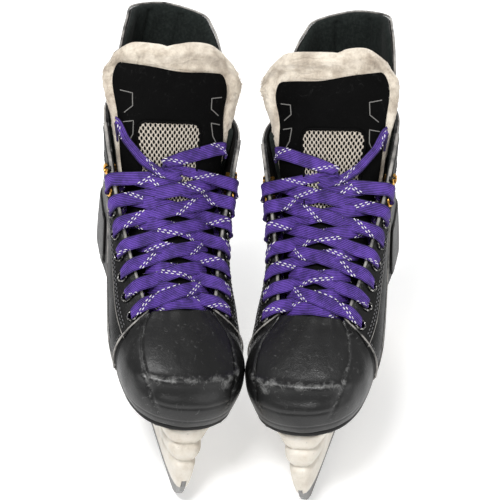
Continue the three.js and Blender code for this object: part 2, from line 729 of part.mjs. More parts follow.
// A copy of a piece that leans to the inside of the foot the further it stands over the flex line.
function withSet(geometry, share) {
  const foot = tongueCurve.getPoint(HINGE_S).z;
  return warp(geometry.clone(), (x, y, z) => new THREE.Vector3(x + Math.max(0, z - foot) * share, y, z));
}

function skate(name, laceGeometry, pose) {
  const group = new THREE.Group();
  const sets = {
    tongue_upper: pose.tongueSet,
    tongue_face: pose.tongueSet,
    tendon_guard: pose.guardSet,
  };
  for (const [piece, plain, material] of [...PIECES, ["lace", laceGeometry, purpleLace]]) {
    const geometry = piece in sets ? withSet(plain, sets[piece]) : plain;
    const mesh = new THREE.Mesh(geometry, material);
    mesh.name = name + "_" + piece;
    group.add(mesh);
  }
  return group;
}

// A skate's toes are turned in and its top leans to the other skate; side is -1 for the right one.
function stand(group, side, pose) {
  const turn = THREE.MathUtils.degToRad(pose.yaw);
  const tilt = THREE.MathUtils.degToRad(pose.lean);
  group.rotation.set(0, -side * tilt, -side * turn, "ZYX");
  group.position.x = side * pose.stance * ((scaleX + scaleY) / 2);
  return group;
}

const route = laceRoute(innerEnd, outerEnd);
const right = stand(skate("right", lace(route), RIGHT_POSE), -1, RIGHT_POSE);
const left = stand(skate("left", lace(route), LEFT_POSE), 1, LEFT_POSE);
left.scale.x = -1;

// The pair stands with its lowest edge on the ground, centred on the origin.
const pair = new THREE.Group();
pair.add(right, left);
pair.updateMatrixWorld(true);
const bounds = new THREE.Box3().setFromObject(pair, true);
const middle = bounds.getCenter(new THREE.Vector3());
pair.position.set(-middle.x, -middle.y, -bounds.min.z);

export default pair;
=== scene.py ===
import json
import math
import random
from functools import lru_cache

import bmesh
import bpy
from mathutils import Matrix, Vector, noise


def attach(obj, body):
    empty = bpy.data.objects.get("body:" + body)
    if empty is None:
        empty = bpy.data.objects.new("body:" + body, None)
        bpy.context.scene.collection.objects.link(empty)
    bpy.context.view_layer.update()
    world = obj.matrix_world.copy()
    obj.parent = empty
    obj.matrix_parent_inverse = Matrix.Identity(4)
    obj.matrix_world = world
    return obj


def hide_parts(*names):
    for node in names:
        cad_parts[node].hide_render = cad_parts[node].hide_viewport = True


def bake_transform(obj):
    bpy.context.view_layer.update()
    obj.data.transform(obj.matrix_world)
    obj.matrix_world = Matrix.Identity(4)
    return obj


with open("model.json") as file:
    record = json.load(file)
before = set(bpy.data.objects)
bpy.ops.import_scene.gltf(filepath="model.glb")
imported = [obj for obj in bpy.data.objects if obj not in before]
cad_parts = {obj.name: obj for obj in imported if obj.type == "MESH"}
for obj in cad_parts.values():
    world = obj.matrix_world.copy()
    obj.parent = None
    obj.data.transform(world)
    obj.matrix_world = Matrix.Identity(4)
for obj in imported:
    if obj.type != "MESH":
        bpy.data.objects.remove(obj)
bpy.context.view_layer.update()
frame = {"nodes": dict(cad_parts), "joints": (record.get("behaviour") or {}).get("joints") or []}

# ---------------------------------------------------------------- camera, light and floor
# The pair is seen from in front and above, through a long lens held a little askew. Three softboxes
# and a pale sky light it, on a white floor.
TARGET = Vector((0.002, -0.003, 0.142))
CAMERA_HEIGHT = math.radians(31.8)
CAMERA_ROLL = math.radians(2.5)
CAMERA_AWAY = 1.0

camera = bpy.data.objects.new("camera", bpy.data.cameras.new("camera"))
bpy.context.collection.objects.link(camera)
camera.data.lens = 94.8
camera.data.sensor_width = 36
camera.data.clip_start = 0.01
away = Vector((0, -math.cos(CAMERA_HEIGHT), math.sin(CAMERA_HEIGHT)))
camera.matrix_world = (
    Matrix.Translation(TARGET + away * CAMERA_AWAY)
    @ away.to_track_quat("Z", "Y").to_matrix().to_4x4()
    @ Matrix.Rotation(CAMERA_ROLL, 4, "Z")
)
bpy.context.scene.camera = camera


def softbox(name, place, aim, size, power):
    lamp = bpy.data.lights.new(name, "AREA")
    lamp.shape = "RECTANGLE"
    lamp.size, lamp.size_y = size
    lamp.energy = power
    holder = bpy.data.objects.new(name, lamp)
    bpy.context.collection.objects.link(holder)
    turn = (Vector(place) - Vector(aim)).to_track_quat("Z", "Y").to_matrix().to_4x4()
    holder.matrix_world = Matrix.Translation(place) @ turn


softbox("key_light", (-0.4, -0.7, 1.5), (0, 0, 0.12), (0.6, 0.45), 21)
softbox("fill_light", (1.3, -0.9, 0.9), (0, 0, 0.12), (0.9, 0.9), 5)
softbox("back_light", (0.2, 1.3, 1.1), (0, 0, 0.15), (1.2, 0.6), 9)

sky = bpy.data.worlds.new("studio")
sky.use_nodes = True
sky.node_tree.nodes["Background"].inputs["Color"].default_value = (1, 1, 1, 1)
sky.node_tree.nodes["Background"].inputs["Strength"].default_value = 0.4
bpy.context.scene.world = sky
bpy.context.scene.view_settings.view_transform = "Standard"

floor_paint = bpy.data.materials.new("floor_paint")
floor_paint.use_nodes = True
paint = floor_paint.node_tree.nodes["Principled BSDF"].inputs
paint["Base Color"].default_value = (0.92, 0.92, 0.92, 1)
paint["Roughness"].default_value = 0.9
paint["Emission Color"].default_value = (1, 1, 1, 1)
paint["Emission Strength"].default_value = 0.34
bm = bmesh.new()
bmesh.ops.create_grid(bm, x_segments=1, y_segments=1, size=6)
floor_mesh = bpy.data.meshes.new("floor")
bm.to_mesh(floor_mesh)
bm.free()
floor = bpy.data.objects.new("floor", floor_mesh)
floor_mesh.materials.append(floor_paint)
bpy.context.collection.objects.link(floor)

# ---------------------------------------------------------------- how each skate stands
# A skate is made upright in its own frame, in millimetres: +x to the inside of the foot, +y to the
# heel, +z up. The tongue's fold line tells how far the skate is turned in and leans.
FOLD_PLACE = Vector((0, 15, 236))
SIDES = ("right", "left")
HALVES = (("outer", 1), ("inner", -1))
stance = {}
for joint in frame["joints"]:
    if joint["name"].endswith("_tongue_fold"):
        across = Vector(joint["axis"]).normalized()
        rearward = Vector((-across.y, across.x, 0)).normalized()
        upward = across.cross(rearward)
        side = joint["name"].split("_")[0]
        fold = Vector(joint["pos_m"])
        inward = across if side == "right" else -across
        turn = Matrix((inward, rearward, upward)).transposed()
        stance[side] = (turn, fold - turn @ FOLD_PLACE * 0.001)


def stand(side, point):
    turn, foot = stance[side]
    return foot + turn @ point * 0.001


def stand_direction(side, direction):
    return (stance[side][0] @ direction).normalized()


# ---------------------------------------------------------------- the last that the boot is made on
# Stations run from the heel's middle round the outside of the foot to the toe. At each one a cubic
# profile rises from the sole over two handles to the boot's upper edge. The inside is its mirror
# image, but for the collar's front corner, which sits lower there.
TOE_HEIGHT = 73
HEEL_RISE = 8
BOOT_LENGTH = 282
LAST = [
    ((0, 137), (0, 149, 118), (0, 113, 182), (0, 119, 236)),
    ((24, 121), (27, 126, 120), (24, 106, 184), (27, 107, 236)),
    ((29, 92), (30, 94, 122), (36, 84, 187), (37, 82, 237)),
    ((29, 62), (30, 62, 124), (43, 56, 187), (44, 54, 240)),
    ((29.5, 34), (31, 33, 120), (46, 32, 184), (51, 31, 236)),
    ((32, 10), (37, 9, 114), (48, 9, 168), (47, 11, 207)),
    ((36, -16), (45, -15, 107), (49, -11, 149), (41, -8, 178)),
    ((40, -42), (51, -40, 102), (49, -34, 133), (34, -30, 152)),
    ((42, -66), (54, -64, 99), (50, -57, 121), (29, -51, 137)),
    ((41, -88), (53, -88, 98), (45, -80, 114), (25, -68, 126)),
    ((38, -106), (49, -108, 100), (42, -98, 113), (21, -70, 127)),
    ((30, -122), (39, -127, 101), (34, -114, 111), (16, -71, 128)),
    ((16, -132), (22, -140, 101), (19, -125, 110), (9, -72, 129)),
    ((0, -135), (0, -144, 101), (0, -128, 110), (0, -72, 130)),
]
TOE = len(LAST) - 1
SEAM = 9  # the station of the toe cap's seam
CORNER = 4.25  # the station of the collar's front corner
INNER_DROP = 8
SHELL = 2.6
FACING_WIDTH = 24
FACING_PROUD = 1.2


def mix(a, b, t):
    return a + (b - a) * t


def clamp(value, low=0.0, high=1.0):
    return max(low, min(high, value))


def ease(t):
    t = clamp(t)
    return t * t * (3 - 2 * t)


def bump(t, centre, width):
    return math.exp(-(((t - centre) / width) ** 2))


def sole_height(y):
    return TOE_HEIGHT + (y / BOOT_LENGTH + 0.5) * HEEL_RISE


@lru_cache(None)
def station(number):
    number %= 2 * TOE
    outside = number <= TOE
    at = number if outside else 2 * TOE - number
    sole, low, high, edge = LAST[at]
    sign = -1 if outside else 1
    points = [Vector((sign * x, y, z)) for x, y, z in ((*sole, sole_height(sole[1])), low, high, edge)]
    if not outside:
        points[3] -= Vector((0, 1, 1)) * INNER_DROP * max(0, 1 - abs(at - 4) / 2)
    return points


def catmull(a, b, c, d, t):
    return b + 0.5 * t * (c - a + t * (2 * a - 5 * b + 4 * c - d + t * (3 * (b - c) + d - a)))


@lru_cache(20000)
def profile(k):
    first = math.floor(k)
    near = [station(first + i) for i in (-1, 0, 1, 2)]
    return [catmull(*(points[c] for points in near), k - first) for c in range(4)]


def last_point(k, v):
    sole, low, high, edge = profile(k)
    w = 1 - v
    return sole * (w * w * w) + low * (3 * v * w * w) + high * (3 * v * v * w) + edge * (v * v * v)


def last_normal(k, v):
    low = clamp(v - 0.02, 0, 0.96)
    ahead = last_point(k + 0.02, v) - last_point(k - 0.02, v)
    rise = last_point(k, low + 0.04) - last_point(k, low)
    return ahead.cross(rise).normalized()


def shell(k, v, out=0.0):
    return last_point(k, v) + last_normal(k, v) * out


@lru_cache(20000)
def girth(k):
    points = [last_point(k, i / 16) for i in range(17)]
    return sum((b - a).length for a, b in zip(points, points[1:]))


def inset(k, distance):
    return 1 - distance / girth(k)


# A finished mesh is smooth, sits at the origin and rides on its skate's body.
def piece(name, mesh, material, body=None):
    made = bpy.data.objects.new(name, mesh)
    bpy.context.collection.objects.link(made)
    mesh.materials.append(material)
    mesh.polygons.foreach_set("use_smooth", [True] * len(mesh.polygons))
    if body:
        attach(made, body)
    return made


# A curved sheet: a flat grid laid on the skate by a function of its two sides and the offset outward.
def sheet(side, place, columns, rows, wear_and_shade=None):
    bm = bmesh.new()
    bm.loops.layers.uv.new("UVMap")
    bmesh.ops.create_grid(bm, x_segments=columns, y_segments=rows, size=0.5, calc_uvs=True)
    # The wear_and_shade layer holds wear on leather and plastic skins, and on knitted mesh it holds the
    # holes that get painted shade.
    layer = bm.verts.layers.float.new("wear_and_shade")
    for vert in bm.verts:
        u, v = vert.co.x + 0.5, vert.co.y + 0.5
        vert[layer] = wear_and_shade(u, v) if wear_and_shade else 0
        vert.co = stand(side, place(u, v, 0))
    bm.normal_update()
    bm.verts.ensure_lookup_table()
    middle = (rows // 2) * (columns + 1) + columns // 2
    u, v = (columns // 2) / columns, (rows // 2) / rows
    outward = stand(side, place(u, v, 1)) - stand(side, place(u, v, 0))
    if bm.verts[middle].normal.dot(outward) < 0:
        bmesh.ops.reverse_faces(bm, faces=bm.faces)
    mesh = bpy.data.meshes.new("sheet")
    bm.to_mesh(mesh)
    bm.free()
    return mesh


def thicken(made, wall, edge=0.0, segments=3):
    solid = made.modifiers.new("wall", "SOLIDIFY")
    solid.thickness = wall * 0.001
    solid.offset = -1
    solid.use_even_offset = False
    if edge:
        rounding = made.modifiers.new("edge", "BEVEL")
        rounding.width = edge * 0.001
        rounding.segments = segments
        rounding.limit_method = "ANGLE"
        rounding.angle_limit = math.radians(50)
    return made


# ---------------------------------------------------------------- finishes
# Every material is built from nodes by one small class. Most of the black pieces share one kind of
# skin, and only its grain, polish and scuffs differ.
class Finish:
    """A material in the making: plain values on its skin, and textures laid through the object."""

    def __init__(self, name, **values):
        self.material = bpy.data.materials.new(name)
        self.material.use_nodes = True
        self.nodes = self.material.node_tree.nodes
        self.links = self.material.node_tree.links
        self.skin = self.nodes["Principled BSDF"].inputs
        for key, value in values.items():
            self.skin[key.replace("_", " ")].default_value = value

    def add(self, kind, **values):
        made = self.nodes.new("ShaderNode" + kind)
        for key, value in values.items():
            if hasattr(made, key):
                setattr(made, key, value)
            else:
                made.inputs[key.replace("_", " ")].default_value = value
        return made

    def feed(self, socket, value):
        """A plain value is set on the socket, and another node's output is linked to it."""
        if isinstance(value, (int, float, tuple)):
            socket.default_value = value
        else:
            self.links.new(value, socket)

    def texture(self, kind, **values):
        made = self.add(kind, **values)
        self.links.new(self.add("TexCoord").outputs["Object"], made.inputs["Vector"])
        return made

    def cloud(self, **values):
        return self.texture("TexNoise", **values).outputs["Fac"]

    def maths(self, operation, *values):
        made = self.add("Math", operation=operation)
        for socket, value in zip(made.inputs, values):
            self.feed(socket, value)
        return made.outputs[0]

    def tones(self, driver, *stops):
        """Tones along a ramp, each a grey or a colour at its place."""
        ramp = self.add("ValToRGB")
        elements = ramp.color_ramp.elements
        while len(elements) < len(stops):
            elements.new(0.5)
        for element, (at, tone) in zip(elements, stops):
            element.position = at
            element.color = (*tone, 1) if isinstance(tone, tuple) else (tone, tone, tone, 1)
        self.links.new(driver, ramp.inputs["Fac"])
        return ramp.outputs["Color"]

    def mixed(self, factor, a, b, blend="MIX"):
        made = self.add("Mix", data_type="RGBA", blend_type=blend)
        for name, value in (("Factor", factor), ("A", a), ("B", b)):
            self.feed(made.inputs[name], value)
        return made.outputs["Result"]

    def colour(self, socket):
        self.links.new(socket, self.skin["Base Color"])

    def polish(self, driver, low, high):
        made = self.add("MapRange", To_Min=low, To_Max=high)
        self.links.new(driver, made.inputs["Value"])
        self.links.new(made.outputs["Result"], self.skin["Roughness"])

    def relief(self, height, strength, distance, under=None):
        made = self.add("Bump", Strength=strength, Distance=distance)
        self.links.new(height, made.inputs["Height"])
        if under:
            self.links.new(under, made.inputs["Normal"])
        self.links.new(made.outputs["Normal"], self.skin["Normal"])
        return made.outputs["Normal"]


def mottled(name, grain, *stops, **values):
    """A finish whose colour follows one noise, with that noise's settings in grain."""
    finish = Finish(name, **values)
    finish.colour(finish.tones(finish.cloud(**grain), *stops))
    return finish


# Black leather or moulded skin: a fine grain, soft creases, and grey scuffs that gather where the
# wear_and_shade attribute is high, which on these skins holds wear only.
def black_skin(name, grain, grain_depth, rough, scuff, tone=0.005, gloss=0.22):
    finish = Finish(name, Specular_IOR_Level=gloss)
    cells = finish.texture("TexVoronoi", feature="F1", Scale=grain).outputs["Distance"]
    creases = finish.cloud(Scale=55.0, Detail=8.0, Roughness=0.62)
    blotches = finish.cloud(Scale=26.0, Detail=5.0, Roughness=0.7)
    scratches = finish.cloud(Scale=160.0, Detail=9.0, Roughness=0.75, Distortion=1.6)
    worn = finish.add("Attribute", attribute_name="wear_and_shade").outputs["Fac"]
    rubbed = finish.tones(finish.maths("MULTIPLY_ADD", worn, 0.24, scratches), (0.6, 0.0), (0.84, 1.0))
    base = finish.tones(blotches, (0.3, tone), (0.75, tone * 2.2))
    finish.colour(finish.mixed(rubbed, base, (scuff, scuff, scuff * 0.98, 1)))
    finish.polish(blotches, rough - 0.12, rough + 0.2)
    grained = finish.relief(cells, grain_depth, 0.0004)
    finish.relief(creases, 0.55, 0.0012, grained)
    return finish.material


black_leather = black_skin("black_leather", 1100.0, 0.5, 0.42, 0.16)


# ---------------------------------------------------------------- quarters
# Each side of the boot is a moulded composite shell covered in black coated leather. It creases at
# the ankle, and its upper edge is bound in pale piping.
def quarter_top(k):
    return 1.0 if abs(k) < CORNER - 0.03 else inset(k, FACING_WIDTH - 3)


def quarter_place(sign):
    def place(u, v, out):
        k = sign * mix(0, SEAM, u)
        height = v * quarter_top(k)
        crease = -0.5 * bump(height, 0.62, 0.02) * bump(abs(k), 3.4, 1.3)
        crease -= 0.4 * bump(height, 0.70, 0.02) * bump(abs(k), 4.0, 1.1)
        return shell(k, height, out + crease)

    return place


def quarter_wear(u, v):
    low = bump(v, 0.05, 0.2) * 0.5 + bump(u, 0.86, 0.12) * bump(v, 0.45, 0.3) * 0.5
    return clamp(low, 0, 1)


for side in SIDES:
    for which, sign in HALVES:
        mesh = sheet(side, quarter_place(sign), 140, 56, quarter_wear)
        made = piece(f"{side}_{which}_quarter_skin", mesh, black_leather, side + "_boot")
        thicken(made, SHELL, 0.5)
        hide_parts(f"{side}_{which}_quarter")

# ---------------------------------------------------------------- toe cap
# The toe is a hard moulded cap. A ridge runs round its front where the top meets the bumper, a
# shallow crease marks off its side panels, and the ridge is rubbed grey.
cap_plastic = black_skin("cap_plastic", 1500.0, 0.22, 0.32, 0.18, 0.003, 0.5)
RIDGE = 0.52


def cap_turn(u):
    return mix(SEAM, 2 * TOE - SEAM, u)


def ridge_height(off):
    """Where the ridge runs up the profile, off so many stations from the toe's middle."""
    return RIDGE - 0.012 * off * off


def panel_edge(v):
    """How far from the middle the crease beside the cap's top panel and the bumper runs."""
    return mix(1.95, 3.5, (v - RIDGE) / (1 - RIDGE)) if v > RIDGE else mix(1.2, 1.95, v / RIDGE)


def cap_place(u, v, out):
    k = cap_turn(u)
    off = abs(k - TOE)
    front = ease((2.5 - off) * 1.6)
    crest = ridge_height(off)
    ridge = (1.9 * bump(v, crest, 0.045) - 1.0 * bump(v, crest - 0.13, 0.07)) * front
    crease = -0.8 * bump(off, panel_edge(v), 0.11) * ease((v - 0.1) * 8)
    fold = -0.5 * bump(v, 0.24, 0.02) * ease((1.7 - off) * 2)
    sag = 0.5 * noise.noise(Vector((k * 1.3, v * 5, 7.0)))
    welt = -0.35 * bump(v, 0.07, 0.010)
    rim = 0.5 * bump(v, 1, 0.03)
    return shell(k, v, out + 0.4 + ridge + crease + fold + sag + welt + rim)


def cap_wear(u, v):
    k = cap_turn(u)
    off = abs(k - TOE)
    patches = 0.62 + 0.9 * noise.noise(Vector((k * 3.1, v * 6, 1.5)))
    along_ridge = bump(v, ridge_height(off) + 0.012, 0.035) * ease((2.4 - off) * 1.8) * patches
    chip = bump(k, TOE + 1.25, 0.3) * bump(v, RIDGE - 0.08, 0.05)
    beside = 0.4 * bump(off, panel_edge(v), 0.12)
    return clamp(along_ridge + 0.9 * chip + beside + 0.08 * bump(v, 0.6, 0.35), 0, 1)


for side in SIDES:
    mesh = sheet(side, cap_place, 150, 110, cap_wear)
    made = piece(side + "_toe_cap_skin", mesh, cap_plastic, side + "_boot")
    thicken(made, SHELL, 0.6)
    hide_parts(side + "_toe_cap")

# ---------------------------------------------------------------- heel counter
# A thin moulded cup is stuck round the heel to stiffen it. Its upper edge slopes down towards the
# front, and its face is stepped back a little from its rim.
COUNTER_END = 2.7
counter_plastic = black_skin("counter_plastic", 1700.0, 0.2, 0.38, 0.2)


def counter_place(u, v, out):
    k = mix(-COUNTER_END, COUNTER_END, u)
    top = mix(2.5, 2.1, abs(k) / COUNTER_END) / 7
    step = 0.5 * ease((abs(k) - 0.9) * 8) * ease((COUNTER_END - 0.25 - abs(k)) * 8)
    return shell(k, mix(0.014, top, v), out + 2.0 - step)


for side in SIDES:
    mesh = sheet(side, counter_place, 90, 30, lambda u, v: 0.5 * bump(v, 0.1, 0.3))
    made = piece(side + "_heel_counter_skin", mesh, counter_plastic, side + "_boot")
    thicken(made, 1.7, 0.5)
    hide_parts(side + "_heel_counter")

# ---------------------------------------------------------------- facings
# A doubled leather strip on each side of the throat carries the eyelets. It is bound along the
# throat in worn grey tape, and sewn down with two rows of grey thread.
EYELETS = 8
EYELET_PITCH = 16.4
FIRST_EYELET = 6
EYELET_INSET = 11
EYELET_HOLE = 3.4


def eyelet_stations():
    found = []
    left = FIRST_EYELET
    k = SEAM
    before = last_point(k, inset(k, EYELET_INSET))
    while len(found) < EYELETS:
        k -= 0.005
        here = last_point(k, inset(k, EYELET_INSET))
        left -= (here - before).length
        before = here
        if left <= 0:
            found.append(k)
            left += EYELET_PITCH
    return found


EYELET_K = eyelet_stations()
EYELET_V = [inset(k, EYELET_INSET) for k in EYELET_K]


def finished(made):
    """The piece with its modifiers applied."""
    bpy.context.view_layer.update()
    seen = made.evaluated_get(bpy.context.evaluated_depsgraph_get())
    mesh = bpy.data.meshes.new_from_object(seen)
    made.modifiers.clear()
    made.data = mesh
    return made


def rounded(mesh, dist=1e-6):
    """The mesh with its seams closed and its faces outward."""
    bm = bmesh.new()
    bm.from_mesh(mesh)
    bmesh.ops.remove_doubles(bm, verts=bm.verts, dist=dist)
    bmesh.ops.recalc_face_normals(bm, faces=bm.faces)
    bm.to_mesh(mesh)
    bm.free()
    return mesh


def eyelet_axis(side, sign, i):
    k = sign * EYELET_K[i]
    centre = stand(side, shell(k, EYELET_V[i]))
    axis = stand_direction(side, last_normal(k, EYELET_V[i]))
    return Matrix.Translation(centre) @ axis.to_track_quat("Z", "Y").to_matrix().to_4x4()


def punch(mesh, axes, radius):
    """Round holes through a sheet at the given axes, with their rims drawn onto the circle."""
    bm = bmesh.new()
    bm.from_mesh(mesh)
    for axis in axes:
        to_hole = axis.inverted()
        near = [face for face in bm.faces if (to_hole @ face.calc_center_median()).length < radius * 0.001]
        bmesh.ops.delete(bm, geom=near, context="FACES")
    for vert in bm.verts:
        for axis in axes if vert.is_boundary else []:
            spot = axis.inverted() @ vert.co
            reach = math.hypot(spot.x, spot.y)
            if spot.length < radius * 0.0014:
                spot.x *= radius * 0.001 / reach
                spot.y *= radius * 0.001 / reach
                vert.co = axis @ spot
    bm.to_mesh(mesh)
    bm.free()


def facing_place(sign):
    def place(u, v, out):
        k = sign * mix(CORNER, SEAM - 0.02, u)
        pad = 0.5 * bump(v, 0.82, 0.1) - 0.35 * bump(v, 0.1, 0.03) - 0.35 * bump(v, 0.2, 0.03)
        return shell(k, mix(inset(k, FACING_WIDTH), 1, v), out + FACING_PROUD + pad)

    return place


for side in SIDES:
    for which, sign in HALVES:
        mesh = sheet(side, facing_place(sign), 190, 44, lambda u, v: 0.35 * bump(v, 1, 0.2))
        punch(mesh, [eyelet_axis(side, sign, i) for i in range(EYELETS)], EYELET_HOLE)
        made = piece(f"{side}_{which}_facing_skin", mesh, black_leather, side + "_boot")
        thicken(made, SHELL + FACING_PROUD, 0.4)
        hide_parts(f"{side}_{which}_facing")

# ---------------------------------------------------------------- piping and stitching
# Pale vinyl piping edges the collar, the throat, the facings' outer seams and the seam of the toe
# cap. Beside it run rows of grey lockstitch.
piping_vinyl = mottled(
    "piping_vinyl", {"Scale": 110.0, "Detail": 6.0, "Roughness": 0.6},
    (0.34, (0.03, 0.03, 0.028)), (0.46, (0.2, 0.19, 0.18)), (0.66, (0.4, 0.38, 0.35)), Roughness=0.45,
).material
thread = Finish("thread", Base_Color=(0.09, 0.09, 0.095, 1), Roughness=0.7, Sheen_Weight=0.3).material


def tube(name, points, radius, material, body=None):
    curve = bpy.data.curves.new(name, "CURVE")
    curve.dimensions = "3D"
    curve.bevel_depth = radius * 0.001
    curve.bevel_resolution = 2
    curve.use_fill_caps = True
    for run in points if isinstance(points[0], list) else [points]:
        spline = curve.splines.new("POLY")
        spline.points.add(len(run) - 1)
        for knot, point in zip(spline.points, run):
            knot.co = (*point, 1)
    draft = bpy.data.objects.new(name, curve)
    bpy.context.collection.objects.link(draft)
    bpy.context.view_layer.update()
    mesh = bpy.data.meshes.new_from_object(draft.evaluated_get(bpy.context.evaluated_depsgraph_get()))
    bpy.data.objects.remove(draft)
    mesh.materials.clear()
    return piece(name, mesh, material, body)


def line(side, place, count):
    return [stand(side, place(i / count)) for i in range(count + 1)]


def stitches(name, side, rows, pitch, body):
    """Rows of small raised stitches along functions of 0 to 1 on a skate."""
    bm = bmesh.new()
    for row in rows:
        points = line(side, row, 400)
        travelled = 0.0
        start = points[0]
        for before, here in zip(points, points[1:]):
            travelled += (here - before).length
            if travelled >= pitch * 0.001:
                along = here - start
                middle = Matrix.Translation((start + here) / 2)
                turn = along.to_track_quat("X", "Z").to_matrix().to_4x4()
                shape = Matrix.Diagonal((0.35 * along.length, 0.00038, 0.0003, 1))
                upright = Matrix.Rotation(math.pi / 2, 4, "Y")
                bmesh.ops.create_uvsphere(
                    bm, u_segments=6, v_segments=4, radius=1, matrix=middle @ turn @ shape @ upright
                )
                travelled = 0.0
                start = here
    mesh = bpy.data.meshes.new(name)
    bm.to_mesh(mesh)
    bm.free()
    return piece(name, mesh, thread, body)


def collar_edge(t):
    k = mix(-CORNER, CORNER, t)
    return shell(k, 0.996, 0.1)


def throat_edge(sign):
    return lambda t: shell(sign * mix(CORNER, SEAM, t), 1, FACING_PROUD - 1.0)


def facing_edge(sign):
    def place(t):
        k = mix(CORNER - 0.05, SEAM - 0.05, t)
        return shell(sign * k, inset(k, FACING_WIDTH + 0.2), 0.5)

    return place


def cap_edge(sign):
    return lambda t: shell(sign * (SEAM - 0.02 - 0.35 * ease(t)), mix(1, 0.16, t), 0.9)


def seam_row(sign, distance):
    """A row of stitches on the facing, at a distance from the throat."""
    def place(t):
        k = mix(CORNER + 0.1, SEAM - 0.2, t)
        return shell(sign * k, inset(k, distance), FACING_PROUD + 0.15)

    return place


def collar_row(sign):
    def place(t):
        k = mix(0.3, CORNER - 0.2, t)
        return shell(sign * k, inset(k, 4), 0.15)

    return place


def cap_row(sign):
    return lambda t: shell(sign * (SEAM - 0.22 - 0.35 * ease(t)), mix(0.82, 0.2, t), 0.15)


STITCH = 3.2


for side in SIDES:
    body = side + "_boot"
    tube(side + "_collar_piping", line(side, collar_edge, 120), 0.8, piping_vinyl, body)
    for which, sign in HALVES:
        tube(f"{side}_{which}_throat_piping", line(side, throat_edge(sign), 100), 1.3, piping_vinyl, body)
        tube(f"{side}_{which}_facing_piping", line(side, facing_edge(sign), 100), 0.7, piping_vinyl, body)
        tube(f"{side}_{which}_cap_piping", line(side, cap_edge(sign), 60), 0.75, piping_vinyl, body)
        rows = [seam_row(sign, FACING_WIDTH - 2.4), seam_row(sign, FACING_WIDTH - 4.6)]
        rows += [collar_row(sign), cap_row(sign)]
        stitches(f"{side}_{which}_stitching", side, rows, STITCH, body)

# ---------------------------------------------------------------- eyelets
# Each eyelet is a rolled metal ring: six dark ones up the instep and two brass ones at the ankle.
# They are set through a strip of tape behind the facing.
EYELET_BORE = 2.6
EYELET_FLANGE = 4.4
BRASS_FROM = 6
dark_metal = mottled(
    "dark_metal", {"Scale": 700.0, "Detail": 4.0},
    (0.46, (0.02, 0.02, 0.022)), (0.62, (0.4, 0.39, 0.37)), Metallic=1, Roughness=0.28,
).material
brass = mottled(
    "brass", {"Scale": 500.0, "Detail": 5.0},
    (0.35, (0.35, 0.16, 0.03)), (0.6, (0.85, 0.5, 0.13)), Metallic=1, Roughness=0.3,
).material

EYELET_PROFILE = [
    (EYELET_BORE, -SHELL - 2.4), (EYELET_BORE, FACING_PROUD + 1.0), (EYELET_BORE + 0.25, FACING_PROUD + 1.7),
    (EYELET_BORE + 0.8, FACING_PROUD + 2.0), (EYELET_FLANGE - 0.6, FACING_PROUD + 1.7),
    (EYELET_FLANGE, FACING_PROUD + 0.9), (EYELET_FLANGE - 0.1, FACING_PROUD + 0.45),
    (EYELET_BORE + 0.5, FACING_PROUD + 0.5), (EYELET_BORE + 0.5, -SHELL - 2.4),
]


def lathe(profile, steps):
    """A ring turned round z from a closed profile of (radius, height)."""
    bm = bmesh.new()
    verts = [bm.verts.new((r * 0.001, 0, h * 0.001)) for r, h in profile]
    edges = [bm.edges.new(pair) for pair in zip(verts, verts[1:] + verts[:1])]
    bmesh.ops.spin(
        bm, geom=verts + edges, cent=(0, 0, 0), axis=(0, 0, 1), angle=2 * math.pi, steps=steps,
        use_merge=True,
    )
    bmesh.ops.remove_doubles(bm, verts=bm.verts, dist=1e-6)
    bmesh.ops.recalc_face_normals(bm, faces=bm.faces)
    return bm


ring = lathe(EYELET_PROFILE, 28)
ring_mesh = bpy.data.meshes.new("ring")
ring.to_mesh(ring_mesh)
ring.free()
for side in SIDES:
    for which, sign in HALVES:
        bm = bmesh.new()
        for i in range(EYELETS):
            known = len(bm.verts)
            bm.from_mesh(ring_mesh)
            bm.verts.ensure_lookup_table()
            bmesh.ops.transform(bm, matrix=eyelet_axis(side, sign, i), verts=bm.verts[known:])
            for face in {face for vert in bm.verts[known:] for face in vert.link_faces}:
                face.material_index = 1 if i >= BRASS_FROM else 0
        mesh = bpy.data.meshes.new("eyelets")
        bm.to_mesh(mesh)
        bm.free()
        made = piece(f"{side}_{which}_eyelet_rings", mesh, dark_metal, side + "_boot")
        mesh.materials.append(brass)
        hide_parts(f"{side}_{which}_eyelets")

# ---------------------------------------------------------------- tongue
# The tongue is a thick slab of pale felt that comes up from under the toe cap and rolls forward over
# its own top. It bends at a fold line above the laces.
TONGUE = [
    (-84, 117, 18, 9), (-67, 130, 23, 12), (-52, 142, 27, 14), (-32, 160, 32, 16), (-12, 184, 36, 17),
    (3, 209, 40, 15), (16, 236, 46, 11), (26, 264, 53, 15), (35, 290, 50, 14),
]
TONGUE_THICK = 8
SET = {"right": {"tongue": 0.02, "guard": 0.01}, "left": {"tongue": 0.12, "guard": -0.15}}


def beyond(end, before):
    return [2 * a - b for a, b in zip(end, before)]


def tongue_middle(s):
    at = clamp(s) * (len(TONGUE) - 1)
    i = min(int(at), len(TONGUE) - 2)
    rows = [beyond(TONGUE[0], TONGUE[1]), *TONGUE, beyond(TONGUE[-1], TONGUE[-2])]
    y, z, half, fall = (catmull(*(rows[i + j][c] for j in range(4)), at - i) for c in range(4))
    return Vector((0, y, z)), half, fall


def tongue_along(s):
    return (tongue_middle(min(s + 0.01, 1))[0] - tongue_middle(min(s + 0.01, 1) - 0.02)[0]).normalized()


def tongue(a, s, out, side=None):
    centre, half, fall = tongue_middle(s)
    along = tongue_along(s)
    front = Vector((0, -along.z, along.y))
    point = centre + front * (out - fall * a * a)
    point.x += a * half
    if s > 1:
        point += along * (s - 1) * 210
    if side:
        point.x += SET[side]["tongue"] * max(0, point.z - FOLD_PLACE.z)
    return point


